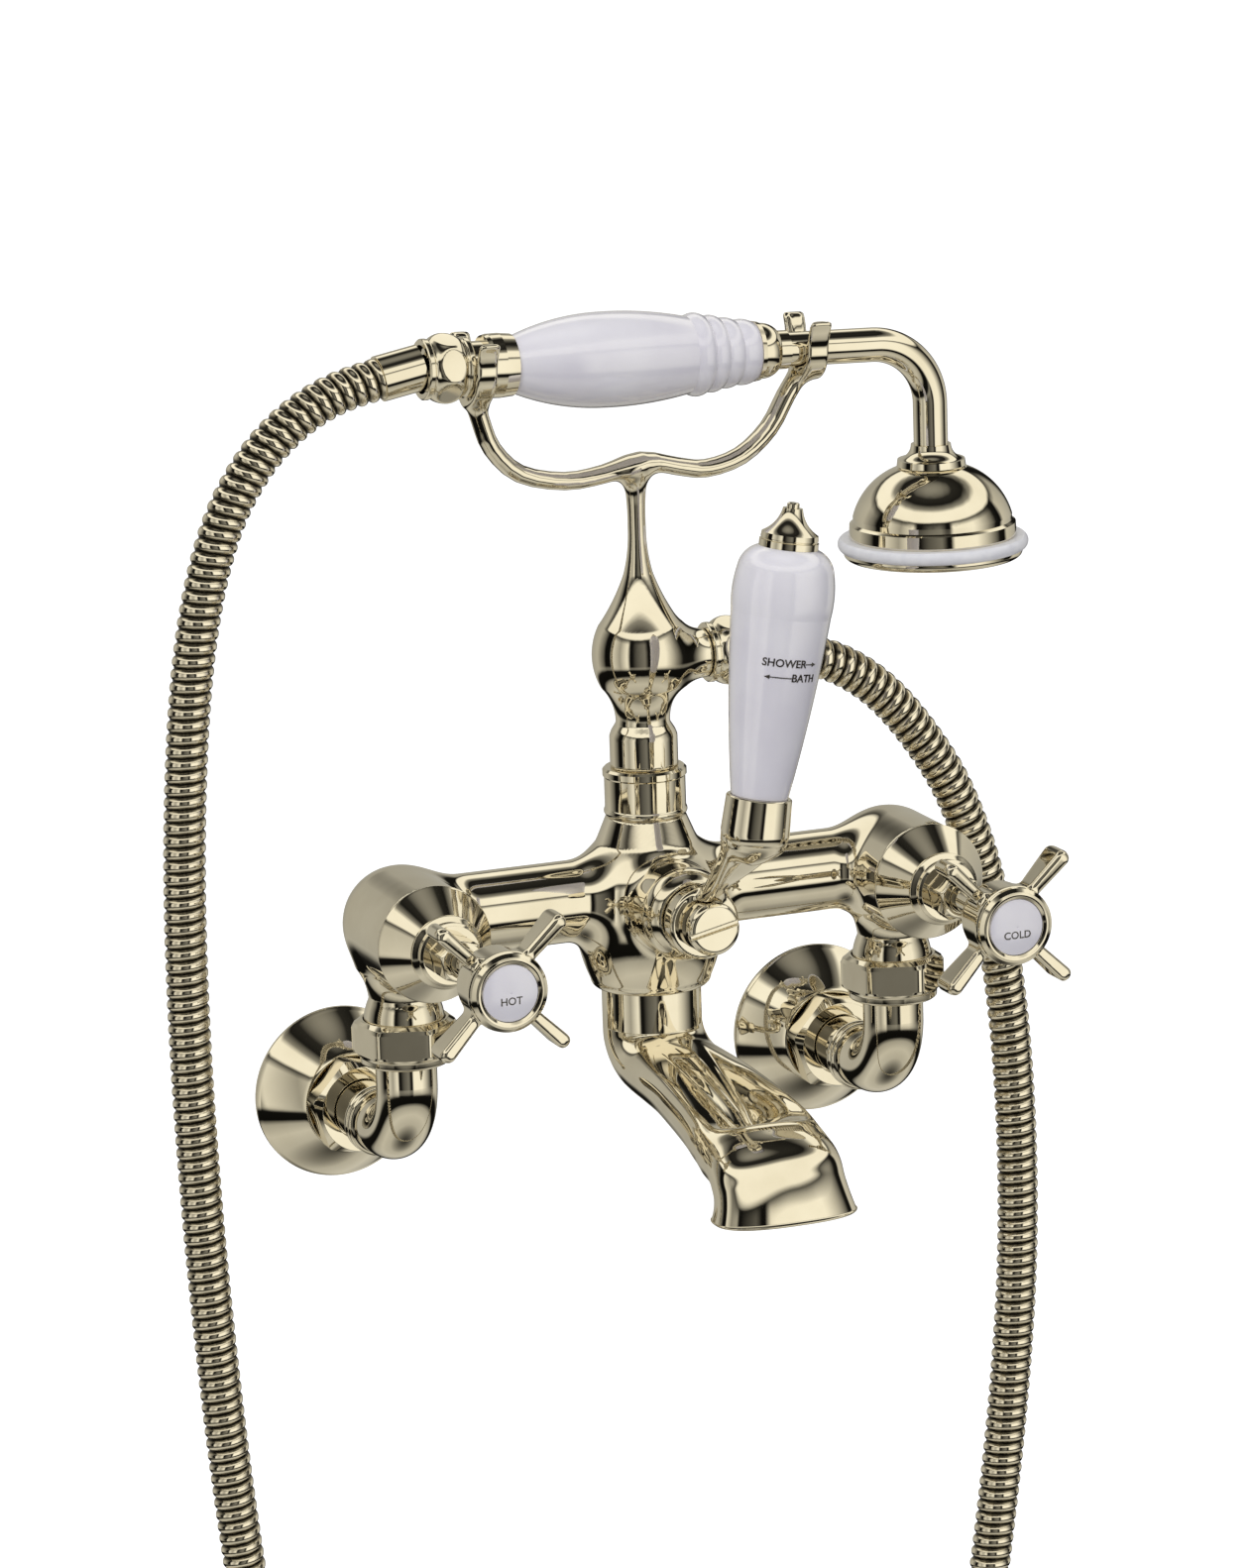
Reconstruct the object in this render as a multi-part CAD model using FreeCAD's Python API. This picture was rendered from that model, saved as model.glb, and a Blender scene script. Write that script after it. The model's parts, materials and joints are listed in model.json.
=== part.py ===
import FreeCAD, Part
import math
import os

# Wall mounted bath filler with a hand shower on a cradle, millimetres.
# Frame: origin midway between the two wall inlets, on the finished wall.
# +X to the right of a bather facing the wall, +Z up, the room is at -Y.

# ---------------------------------------------------------------- driving sizes
inlet_spacing = 180.0        # centre to centre of the two wall inlets
axis_reach = 73.8            # wall to the vertical plane of legs, body and riser
valve_height = 77.0          # inlet axis to valve axis
gap = 0.3                    # clearance between pieces that only pass each other
fit = 0.05                   # radial running clearance of a turning spindle

tail_r = 10.45               # G 1/2 inlet tail
tail_bore_r = 7.0
tail_depth = 22.0            # tail behind the finished wall
flange_r = 30.4
flange_depth = 17.5
flange_lip = 1.7
hub_r = 17.4                 # mouth of the wall flange
nut_af = 31.6                # union nuts, across flats
wall_nut_length = 10.0
leg_r = 10.5                 # elbow tube
leg_bore_r = 8.0
elbow_bend = 21.0
leg_top = 28.6               # underside of the upper union nut
union_length = 15.6
washer_t = 1.5

arm_r = 14.0
arm_bore_r = 9.4
barrel_r = 19.5              # valve barrel at each end of the body
barrel_front = 106.2         # barrel mouth, from the wall
barrel_bore_r = 14.5
throat_r = 11.8
body_low = 44.6
body_top = 104.6
body_neck_r = 13.6
body_max_r = 25.4
boss_r = 15.4                # diverter boss on the front of the body
boss_front = 116.0
boss_bore_r = 12.2

bonnet_front = 124.0
bonnet_lip_r = 19.6
gland_af = 14.0
gland_front = 135.0
spindle_r = 4.5
handle_back = 156.0
handle_front = 175.0
handle_hub_r = 12.4
arm_tip_r = 31.0
arm_count = 4
arm_width = 11.0             # along the spindle
arm_thick = 4.4
bezel_r = 13.6
bezel_front = 180.0
button_r = 9.58

spout_collar_r = 17.1
spout_collar_top = 44.3
spout_collar_low = 31.0
spout_wall = 3.0
mouth_reach = 201.5
mouth_low = -8.3
mouth_half_width = 24.2
mouth_deep = 27.0            # mouth opening, front to back
ring_steps = 48              # points round each ring of the spout
knee_steps = 5
valley_place = 0.5           # grooves in the spout's top, as a share of the half width
valley_span = 0.4
hollow_span = 0.8
seal_t = 1.2

collar_nut_r = 14.4
collar_nut_height = 16.6
riser_foot_r = 11.65
riser_foot_height = 12.8
riser_bulge_r = 16.7
outlet_height = 158.0
outlet_reach = 23.5
riser_neck_r = 3.1
cradle_low = 222.5           # underside of the cradle bar above the neck
bar_deep = 8.6               # cradle bar, front to back
bar_high = 6.0
fork_thick = 4.8
prong_wide = 4.8
prong_flare = 3.6
tail_neck_r = 8.6            # groove of the handset that sits in the left fork
left_fork = -56.15           # fork stations along the handset
right_fork = 64.0

hose_nut_r = 11.3
hose_nut_length = 16.5
hose_r = 7.2
ferrule_r = 7.8

lever_angle = 8.8            # lever leans this far to the right of upright
lever_reach = 157.6          # wall to the lever's own plane
eye_r = 12.4
eye_t = 7.0
diverter_spindle_r = 5.0
cap_r = 9.1
lever_collar_low = 34.0
lever_collar_top = 50.6
lever_collar_r = 11.2
lever_grip_top = 134.0
lever_grip_r = 16.9
finial_r = 9.9

grip_tilt = 2.28             # the handset slopes down to its head
grip_height = 261.66         # handset axis above the inlets at X = 0
grip_left = -43.4
grip_right = 44.0
grip_r = 16.15
rod_r = 3.0                  # tie tube through each porcelain grip
pipe_r = 5.9
pipe_bore_r = 4.4
pipe_bend = 22.0
head_x = 109.0
head_top = 222.0
rose_bell_r = 27.3
gasket_r = 32.5
plate_r = 30.6

# ---------------------------------------------------------------- derived places
axis_y = -axis_reach
body_axis = FreeCAD.Vector(0, axis_y, 0)
UP = FreeCAD.Vector(0, 0, 1)
OUT = FreeCAD.Vector(0, -1, 0)
RIGHT = FreeCAD.Vector(1, 0, 0)
forks = ((left_fork, tail_neck_r, 7.9), (right_fork, pipe_r, 10.4))
sides = {"hot": -inlet_spacing / 2, "cold": inlet_spacing / 2}
nut_corner_r = nut_af / math.sqrt(3)
wall_nut_back = flange_depth + gap
wall_nut_front = wall_nut_back + wall_nut_length
union_top = leg_top + union_length
riser_foot_low = body_top + collar_nut_height
riser_foot_top = riser_foot_low + riser_foot_height
tilt = math.radians(grip_tilt)
GRIP = FreeCAD.Vector(math.cos(tilt), 0, -math.sin(tilt))
grip_base = FreeCAD.Vector(0, axis_y, grip_height)
lean = math.radians(lever_angle)
LEVER = FreeCAD.Vector(math.sin(lean), 0, math.cos(lean))
lever_base = FreeCAD.Vector(0, -lever_reach, valve_height)

parts = {}
pairs = {}


# ---------------------------------------------------------------- tools
def vec(x, y, z):
    return FreeCAD.Vector(x, y, z)


def place(shape, base, along, spin=0.0):
    """Turn a shape built along +Z to point along another direction from base."""
    turn = FreeCAD.Rotation(UP, along).multiply(FreeCAD.Rotation(UP, spin))
    moved = shape.copy()
    moved.Placement = FreeCAD.Placement(base, turn).multiply(shape.Placement)
    return moved


def outline_wire(outline):
    """Closed wire in the XZ plane from (station, radius) points.

    An entry of four numbers is an arc: a point on it, then its end."""
    def at(pair):
        return vec(pair[1], 0, pair[0])
    here = tuple(outline[0])
    edges = []
    for item in list(outline[1:]) + [outline[0]]:
        end = tuple(item[-2:])
        if end == here:
            continue
        if len(item) == 4:
            edges.append(Part.Arc(at(here), at(item[:2]), at(end)).toShape())
        else:
            edges.append(Part.makeLine(at(here), at(end)))
        here = end
    return Part.Wire(edges)


def turned(outline, base, along):
    """Solid of revolution about the line from base along a direction."""
    face = Part.Face(outline_wire(outline))
    return place(face.revolve(vec(0, 0, 0), UP, 360), base, along)


def rod(radius, start, end, base, along):
    return turned([(start, 0), (start, radius), (end, radius), (end, 0)], base, along)


def ring(outer, inner, start, end, base, along):
    return turned([(start, inner), (start, outer), (end, outer), (end, inner)], base, along)


def hexagon(across_flats, start, end, base, along, spin=0.0):
    corner = across_flats / math.sqrt(3)
    points = [vec(corner * math.cos(math.radians(60 * k)),
                  corner * math.sin(math.radians(60 * k)), start) for k in range(7)]
    prism = Part.Face(Part.makePolygon(points)).extrude(vec(0, 0, end - start))
    return place(prism, base, along, spin)


def hex_nut(across_flats, bore, start, end, base, along, spin=0.0):
    """Hexagon nut with both ends chamfered, and a plain bore."""
    corner = across_flats / math.sqrt(3)
    flat = across_flats / 2
    ease = (corner - flat) * 0.75
    blank = turned([(start, bore), (start, flat), (start + ease, corner),
                    (end - ease, corner), (end, flat), (end, bore)], base, along)
    return hexagon(across_flats, start, end, base, along, spin).common(blank)


def tube_along(points, radius, bends):
    """Round bar along straight runs joined by tangent arcs of the given radii."""
    edges = []
    here = points[0]
    for k in range(1, len(points) - 1):
        into = (points[k] - points[k - 1]).normalize()
        away = (points[k + 1] - points[k]).normalize()
        half = into.getAngle(away) / 2
        back = bends[k - 1] * math.tan(half)
        start = points[k] - into * back
        end = points[k] + away * back
        inward = (away - into).normalize()
        middle = points[k] + inward * (bends[k - 1] / math.cos(half) - bends[k - 1])
        if (start - here).Length > 1e-4:
            edges.append(Part.LineSegment(here, start).toShape())
        edges.append(Part.Arc(start, middle, end).toShape())
        here = end
    if (points[-1] - here).Length > 1e-4:
        edges.append(Part.LineSegment(here, points[-1]).toShape())
    spine = Part.Wire(edges)
    first = (points[1] - points[0]).normalize()
    section = Part.Wire([Part.makeCircle(radius, points[0], first)])
    return spine.makePipeShell([section], True, False), spine.Length


def add(name, shape):
    parts[name] = shape


def add_pair(name, shape):
    """Identical pieces of the two sides share one node, as separate solids."""
    pairs.setdefault(name, []).append(shape)


# ---------------------------------------------------------------- wall unions
def wall_union(side, x):
    base = vec(x, 0, 0)
    tail = ring(tail_r, tail_bore_r, -tail_depth, wall_nut_back + 4.0, base, OUT)
    add("inlet_tail_" + side, tail)

    flange = turned([
        (0, flange_r), (flange_lip, flange_r), (flange_lip + 0.9, flange_r - 1.0),
        (9.5, 25.6, flange_depth - 1.0, hub_r + 0.5), (flange_depth, hub_r),
        (flange_depth, tail_r + gap), (flange_depth - 2.0, tail_r + gap),
        (flange_depth - 2.4, hub_r - 1.6),
        (8.2, 23.6, 0, flange_r - 2.2)], base, OUT)
    add("wall_flange_" + side, flange)

    neck_end = wall_nut_back + 4.0 + washer_t
    nut = hex_nut(nut_af, tail_r + gap, wall_nut_back, wall_nut_front, base, OUT, 18)
    recess = rod(throat_r + 2.2, neck_end - washer_t, wall_nut_front - 2.0, base, OUT)
    mouth = rod(leg_r + gap, wall_nut_back, wall_nut_front + 1, base, OUT)
    add_pair("wall_union_nuts", nut.cut(recess).cut(mouth))
    add_pair("wall_union_washers",
             ring(tail_r, tail_bore_r, neck_end - washer_t, neck_end, base, OUT))

    # Elbow: a collared end inside the wall nut, a bend, and a leg up to the valve.
    def elbow(radius, first, last):
        points = [vec(x, -first, 0), vec(x, axis_y, 0), vec(x, axis_y, last)]
        return tube_along(points, radius, [elbow_bend])[0]
    outer = elbow(leg_r, neck_end, leg_top + union_length - washer_t - 4.0)
    seat = rod(throat_r + 1.9, neck_end, wall_nut_front - 2.0 - gap, base, OUT)
    bead = turned([(wall_nut_front + 13.0, 9.0), (wall_nut_front + 13.0, 11.2),
                   (wall_nut_front + 14.4, 12.2, wall_nut_front + 15.8, 11.4),
                   (wall_nut_front + 16.4, 11.4), (wall_nut_front + 17.8, 12.2,
                   wall_nut_front + 19.2, 11.0), (wall_nut_front + 19.6, 9.0)], base, OUT)
    leg_base = vec(x, axis_y, 0)
    head = rod(throat_r + 1.9, leg_top + 2.5, leg_top + union_length - washer_t - 4.0,
               leg_base, UP)
    solid = outer.fuse([seat, bead, head])
    bore = elbow(leg_bore_r, neck_end - 1, leg_top + union_length)
    add("inlet_elbow_" + side, solid.cut(bore).removeSplitter())

    top = leg_top + union_length - 4.0
    add_pair("valve_union_washers",
             ring(throat_r + 1.9, leg_bore_r, top - washer_t, top, leg_base, UP))
    blank = turned([(leg_top, leg_r + gap), (leg_top, nut_af / 2 - 0.6),
                    (leg_top + 1.6, nut_corner_r), (leg_top + union_length - 2.6, nut_corner_r),
                    (leg_top + union_length, nut_af / 2 - 1.2),
                    (leg_top + union_length, throat_r + 2.0 + gap),
                    (leg_top + 2.2, throat_r + 2.0 + gap), (leg_top + 2.2, leg_r + gap)],
                   leg_base, UP)
    prism = hexagon(nut_af, leg_top, leg_top + union_length, leg_base, UP, 10)
    add_pair("valve_union_nuts", prism.common(blank))


# ---------------------------------------------------------------- body casting
def body():
    bulb = turned([
        (body_low, 0), (body_low, 17.6), (45.6, 19.2, 47.6, 20.6),
        (60.0, 24.9, 76.0, body_max_r), (86.5, 23.6, 94.6, 19.6),
        (body_top, body_neck_r), (body_top, 0)], body_axis, UP)
    arms = place(Part.makeCylinder(arm_r, inlet_spacing), vec(-inlet_spacing / 2, axis_y,
                                                             valve_height), RIGHT)
    boss = rod(boss_r, axis_reach, boss_front, vec(0, 0, valve_height), OUT)
    solid = bulb.fuse([arms, boss])
    hollow = [rod(9.0, body_low - 1, body_top + 1, body_axis, UP),
              rod(boss_bore_r, axis_reach - 14.0, boss_front + 1, vec(0, 0, valve_height), OUT),
              place(Part.makeCylinder(arm_bore_r, inlet_spacing),
                    vec(-inlet_spacing / 2, axis_y, valve_height), RIGHT)]
    for x in sides.values():
        base = vec(x, 0, valve_height)
        back = axis_reach - barrel_r
        barrel = turned([(back, 0), (back + barrel_r * (1 - math.sqrt(0.5)),
                                     barrel_r * math.sqrt(0.5), axis_reach, barrel_r),
                         (barrel_front, barrel_r), (barrel_front, 0)], base, OUT)
        leg = vec(x, axis_y, 0)
        low = leg_top + union_length - 4.0
        throat = turned([(low, 0), (low, throat_r + 1.9), (union_top + 0.6, throat_r + 1.9),
                         (union_top + 2.4, throat_r + 1.6, union_top + 7.0, throat_r),
                         (union_top + 11.5, throat_r + 0.9, valve_height - 14.5, throat_r + 3.6),
                         (valve_height, throat_r + 3.6), (valve_height, 0)], leg, UP)
        solid = solid.fuse([barrel, throat])
        hollow.append(rod(barrel_bore_r, axis_reach - 10.0, barrel_front + 1, base, OUT))
        hollow.append(rod(leg_bore_r, low - 1, valve_height, leg, UP))
    for cavity in hollow:
        solid = solid.cut(cavity)
    add("valve_body", solid.removeSplitter())


# ---------------------------------------------------------------- valves and handles
def cross_arm(k):
    """One flat arm of a cross handle: thin seen from the front, wide from the side."""
    start = handle_hub_r - 2.0
    tip = arm_tip_r
    front = handle_front - 1.5
    back = front - arm_width
    half = arm_thick / 2
    slab = Part.makeBox(tip - start, arm_thick, arm_width, vec(start, -half, back))
    flank = Part.makeCylinder(4.2, arm_thick, vec(tip - 4.2, -half, back + 4.2), vec(0, 1, 0))
    toe = Part.makeCylinder(4.2, arm_thick, vec(tip - 4.2, -half, front - 4.2), vec(0, 1, 0))
    trim = Part.makeBox(4.3, arm_thick, arm_width, vec(tip - 4.2, -half, back))
    middle = Part.makeBox(4.2, arm_thick, arm_width - 8.4, vec(tip - 4.2, -half, back + 4.2))
    blade = slab.cut(trim).fuse([flank, toe, middle]).removeSplitter()
    long_edges = [e for e in blade.Edges if e.BoundBox.XLength > 8 and e.BoundBox.ZLength < 0.1]
    blade = blade.makeFillet(arm_thick * 0.3, long_edges)
    blade.rotate(vec(0, 0, 0), UP, 45 + 360.0 / arm_count * k)
    return blade


def valve(side, x):
    base = vec(x, 0, valve_height)
    seat = axis_reach - 10.0
    port = place(Part.makeCylinder(2.8, 12, vec(6.6, 0, seat)), base, OUT)
    add_pair("ceramic_seat_discs", rod(12.0, seat + 1.0, seat + 4.0, base, OUT).cut(port))
    cartridge = turned([(seat + 4.2, barrel_bore_r - gap), (bonnet_front - 26.0, barrel_bore_r - gap),
                        (bonnet_front - 26.0, spindle_r + fit), (seat + 12.0, spindle_r + fit),
                        (seat + 12.0, 12.3), (seat + 4.2, 12.3)], base, OUT)
    add_pair("valve_cartridges", cartridge)
    bonnet = turned([
        (bonnet_front - 25.8, spindle_r + fit), (bonnet_front - 25.8, barrel_bore_r - gap),
        (barrel_front, barrel_bore_r - gap), (barrel_front, bonnet_lip_r),
        (barrel_front + 1.2, bonnet_lip_r + 0.6, barrel_front + 2.6, bonnet_lip_r),
        (112.5, 14.2, 117.0, 11.7), (118.6, 12.3, 120.0, 11.6),
        (120.6, 10.4), (122.4, 10.9, bonnet_front, 10.0), (bonnet_front, spindle_r + fit)],
        base, OUT)
    add("bonnet_" + side, bonnet)
    add_pair("gland_nuts", hex_nut(gland_af, spindle_r + fit, bonnet_front, gland_front,
                                   base, OUT, 12))
    spindle = rod(spindle_r, seat + 7.4, handle_front - 4.0, base, OUT)
    add("spindle_" + side, spindle)
    add("ceramic_turning_disc_" + side,
        rod(11.8, seat + 4.3, seat + 7.4, base, OUT).cut(port))
    hub = turned([
        (handle_back, spindle_r), (handle_back, 8.2), (handle_back + 3.4, 11.6, handle_back + 6.5,
                                                      handle_hub_r),
        (handle_front, handle_hub_r), (handle_front, spindle_r)], base, OUT)
    blades = [place(cross_arm(k), base, OUT) for k in range(arm_count)]
    add("cross_handle_" + side, hub.fuse(blades).removeSplitter())
    add("handle_screw_" + side,
        turned([(handle_front - 4.0, 0), (handle_front - 4.0, spindle_r), (handle_front, spindle_r),
                (handle_front, 5.6), (handle_front + 1.4, 5.6), (handle_front + 1.4, 0)], base, OUT))
    add("index_bezel_" + side, turned([
        (handle_front, button_r + 0.1), (handle_front, bezel_r), (bezel_front - 3.4, bezel_r),
        (bezel_front - 2.8, bezel_r - 1.0), (bezel_front - 2.2, bezel_r - 0.8),
        (bezel_front - 0.6, bezel_r - 1.2), (bezel_front, button_r + 1.4),
        (bezel_front - 0.4, button_r + 0.1)], base, OUT))
    add("index_button_" + side, turned([
        (handle_front + 1.5, 0), (handle_front + 1.5, button_r), (bezel_front - 0.8, button_r),
        (bezel_front - 0.2, button_r * 0.7, bezel_front, button_r * 0.35), (bezel_front, 0)],
        base, OUT))


# ---------------------------------------------------------------- diverter and lever
def diverter():
    base = vec(0, 0, valve_height)
    back = axis_reach - 14.0
    add("diverter_cartridge", turned([
        (back + 14.0, boss_bore_r - gap), (boss_front - 8.0, boss_bore_r - gap),
        (boss_front - 8.0, diverter_spindle_r + fit), (back + 14.0, diverter_spindle_r + fit)],
        base, OUT))
    add("diverter_gland", turned([
        (boss_front - 7.9, boss_bore_r - gap), (boss_front, boss_bore_r - gap),
        (boss_front, boss_r - 0.8), (boss_front + 2.2, boss_r - 1.4),
        (boss_front + 2.2, diverter_spindle_r + fit), (boss_front - 7.9, diverter_spindle_r + fit)],
        base, OUT))
    eye_back = boss_front + 2.2 + gap
    eye_front = eye_back + eye_t
    spindle = rod(diverter_spindle_r, back + 2.0, eye_front, base, OUT)
    paddle = Part.makeBox(16.0, 1.6, 11.0, vec(-8.0, -0.8, back + 2.5))
    add("diverter_spindle", spindle.fuse(place(paddle, base, OUT)))
    eye = ring(eye_r, diverter_spindle_r, eye_back, eye_front, base, OUT)
    start = vec(0, -(eye_back + eye_t / 2), valve_height) + LEVER * (eye_r - 3.0)
    end = lever_base + LEVER * (lever_collar_low + 2.0)
    reach = end - start
    strap = Part.makeBox(10.0, 6.4, reach.Length, vec(-5.0, -3.2, 0))
    strap = strap.makeFillet(2.0, [e for e in strap.Edges if e.BoundBox.ZLength > 5])
    frame = FreeCAD.Rotation(RIGHT, vec(0, 0, 1), reach.normalize(), "ZXY")
    strap.Placement = FreeCAD.Placement(start, frame)
    post = rod(diverter_spindle_r, eye_back, eye_front, base, OUT)
    add("lever_arm", eye.fuse(strap).cut(rod(60, eye_back - 60, eye_back, base, OUT)).cut(post)
        .cut(rod(lever_collar_r + 3, lever_collar_low, lever_collar_top, lever_base, LEVER))
        .cut(rod(cap_r + gap, eye_front, eye_front + 12.0, base, OUT)))
    cap_front = eye_front + 9.6
    cap = turned([(eye_front, 0), (eye_front, cap_r), (eye_front + 5.4, cap_r),
                  (cap_front - 1.2, cap_r * 0.72, cap_front, 0)], base, OUT)
    slot = Part.makeBox(2 * cap_r + 2, 1.5, 3.0, vec(-cap_r - 1, -0.75, cap_front - 2.0))
    add("lever_cap_screw", cap.cut(place(slot, base, OUT, 12)))

    add("lever_collar", turned([
        (lever_collar_low, 0), (lever_collar_low, 7.0), (lever_collar_low + 0.9, 9.2,
                                                        lever_collar_low + 4.0, lever_collar_r - 0.3),
        (lever_collar_top, lever_collar_r), (lever_collar_top, 9.5),
        (lever_collar_top - 2.0, 9.5), (lever_collar_top - 2.0, 0)], lever_base, LEVER))
    add("lever_grip", turned([
        (lever_collar_top - 2.0, rod_r + gap), (lever_collar_top - 2.0, 9.3),
        (lever_collar_top, 9.4), (lever_collar_top + 0.2, 9.6), (82.0, 13.9, 112.0, 16.6),
        (121.0, lever_grip_r, 126.4, 16.1), (131.4, 13.8, lever_grip_top, finial_r - 0.2),
        (lever_grip_top, rod_r + gap)], lever_base, LEVER))
    add("lever_tie_rod", rod(rod_r, lever_collar_top - 2.0, lever_grip_top, lever_base, LEVER))
    lever_tip = lever_grip_top + 13.0
    add("lever_finial", turned([
        (lever_grip_top, 0), (lever_grip_top, finial_r), (lever_grip_top + 2.2, finial_r),
        (lever_grip_top + 2.4, finial_r - 0.6), (lever_grip_top + 2.7, finial_r - 0.6),
        (lever_grip_top + 2.9, finial_r - 0.3), (lever_grip_top + 4.6, finial_r - 0.5),
        (lever_grip_top + 8.0, 5.4, lever_tip, 3.3), (lever_tip, 0)], lever_base, LEVER))
    add("lever_tip_screw", turned([
        (lever_tip, 0), (lever_tip, 2.1), (lever_tip + 1.4, 2.1),
        (lever_tip + 1.8, 1.6), (lever_tip + 1.8, 0)], lever_base, LEVER))


# ---------------------------------------------------------------- spout
def skin(rows):
    """Closed solid through a ladder of rings whose first and last rings are flat."""
    surface = Part.BSplineSurface()
    surface.interpolate(rows)
    first, last = surface.bounds()[:2]
    caps = [Part.Face(Part.Wire([surface.uIso(u).toShape()])) for u in (first, last)]
    shell = Part.makeShell([surface.toShape()] + caps)
    shell.sewShape()
    solid = Part.Solid(shell)
    if solid.Volume < 0:
        solid.reverse()
    return solid


def spout_ring(crown, floor, half_x, square, valley, hollow, inset):
    """Ring of points through a crown and a floor point, drawn in by the wall.

    square flattens the oval towards a slab, valley sinks two grooves in its top and
    hollow sinks the whole middle between its raised edges."""
    rise = (crown - floor).normalize()
    top = crown - rise * (inset + (max(valley, hollow) if inset else 0.0))
    low = floor + rise * inset
    half = (top - low) * 0.5
    points = []
    for k in range(ring_steps + 1):
        angle = 2 * math.pi * k / ring_steps - math.pi / 2
        across, up = math.cos(angle), math.sin(angle)
        across = math.copysign(abs(across) ** square, across)
        up = math.copysign(abs(up) ** square, up)
        dip = 0.0
        if up > 0 and not inset:
            off = min(abs(abs(across) - valley_place) / valley_span, 1.0)
            dip = valley * math.cos(off * math.pi / 2) ** 2
            dip += hollow * (1 - min(abs(across) / hollow_span, 1.0) ** 2) ** 2
        points.append(top - half + RIGHT * ((half_x - inset) * across) + half * up - rise * dip)
    return points


def spout_rows(inset, lead):
    """Knee under the collar, then a flattened run that ends in a downward mouth."""
    front = axis_reach + spout_collar_r
    back = axis_reach - spout_collar_r
    rows = []
    for k in range(knee_steps):
        angle = math.radians(90.0 * k / knee_steps)
        ahead = 1 - math.cos(angle)
        drop = math.sin(angle)
        rows.append((front + 8.1 * ahead, spout_collar_low - 1.4 * drop,
                     back + 33.3 * ahead, spout_collar_low - 22.4 * drop,
                     spout_collar_r + 0.9 * drop, 1.0 - 0.12 * ahead, 0.4 * ahead, 0.0))
    rows[0] = (front, spout_collar_low + lead, back, spout_collar_low + lead,
               spout_collar_r, 1.0, 0.0, 0.0)
    lip_back = mouth_reach - mouth_deep
    rows += [
        (front + 8.1, 29.6, back + 33.3, 8.6, 18.0, 0.86, 0.6, 0.0),
        (front + 19.0, 29.4, back + 47.0, 8.3, 18.4, 0.84, 3.4, 0.0),
        (front + 31.0, 28.8, back + 61.3, 7.8, 18.8, 0.82, 4.6, 1.6),
        (front + 44.0, 27.6, back + 74.5, 6.3, 19.6, 0.80, 4.0, 5.2),
        (front + 57.0, 26.4, back + 87.3, 4.5, 20.5, 0.80, 2.4, 9.2),
        (front + 69.5, 24.6, back + 97.0, 2.6, 21.3, 0.80, 0.8, 11.2),
        (mouth_reach - 28.5, 21.2, lip_back - 7.5, 0.3, 22.0, 0.82, 0.0, 6.2),
        (mouth_reach - 15.5, 17.2, lip_back - 2.5, -2.6, 22.5, 0.84, 0.0, 0.4),
        (mouth_reach - 10.0, 13.4, lip_back - 1.1, -4.6, 22.6, 0.84, 0.0, 0.0),
        (mouth_reach - 6.2, 7.0, lip_back - 0.5, -6.0, 22.7, 0.84, 0.0, 0.0),
        (mouth_reach - 3.0, 0.0, lip_back - 0.2, -7.2, 23.1, 0.84, 0.0, 0.0),
        (mouth_reach, mouth_low - lead, lip_back, mouth_low - lead, mouth_half_width,
         0.84, 0.0, 0.0),
    ]
    return [spout_ring(vec(0, -a, b), vec(0, -c, d), half_x, square, valley, hollow, inset)
            for a, b, c, d, half_x, square, valley, hollow in rows]


def spout():
    shell = skin(spout_rows(0.0, 0.0))
    collar = rod(spout_collar_r - 1.0, spout_collar_low - 0.4, spout_collar_top - seal_t,
                 body_axis, UP)
    inside = skin(spout_rows(spout_wall, 0.5))
    throat = rod(9.0, spout_collar_low - 10, spout_collar_top + 1, body_axis, UP)
    add("spout", shell.fuse(collar).cut(inside).cut(throat))
    add("spout_collar", ring(spout_collar_r, spout_collar_r - 1.0, spout_collar_low,
                             spout_collar_top, body_axis, UP))
    add("spout_seal", ring(15.8, 9.2, spout_collar_top - seal_t, body_low, body_axis, UP))


# ---------------------------------------------------------------- riser and cradle
def bar_section(centre, along):
    """Rounded oval section of the cradle bar."""
    other = along.cross(vec(0, 1, 0)).normalize()
    ellipse = Part.Ellipse(centre + vec(0, bar_deep / 2, 0), centre + other * (bar_high / 2), centre)
    return Part.Wire([ellipse.toShape()])


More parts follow.
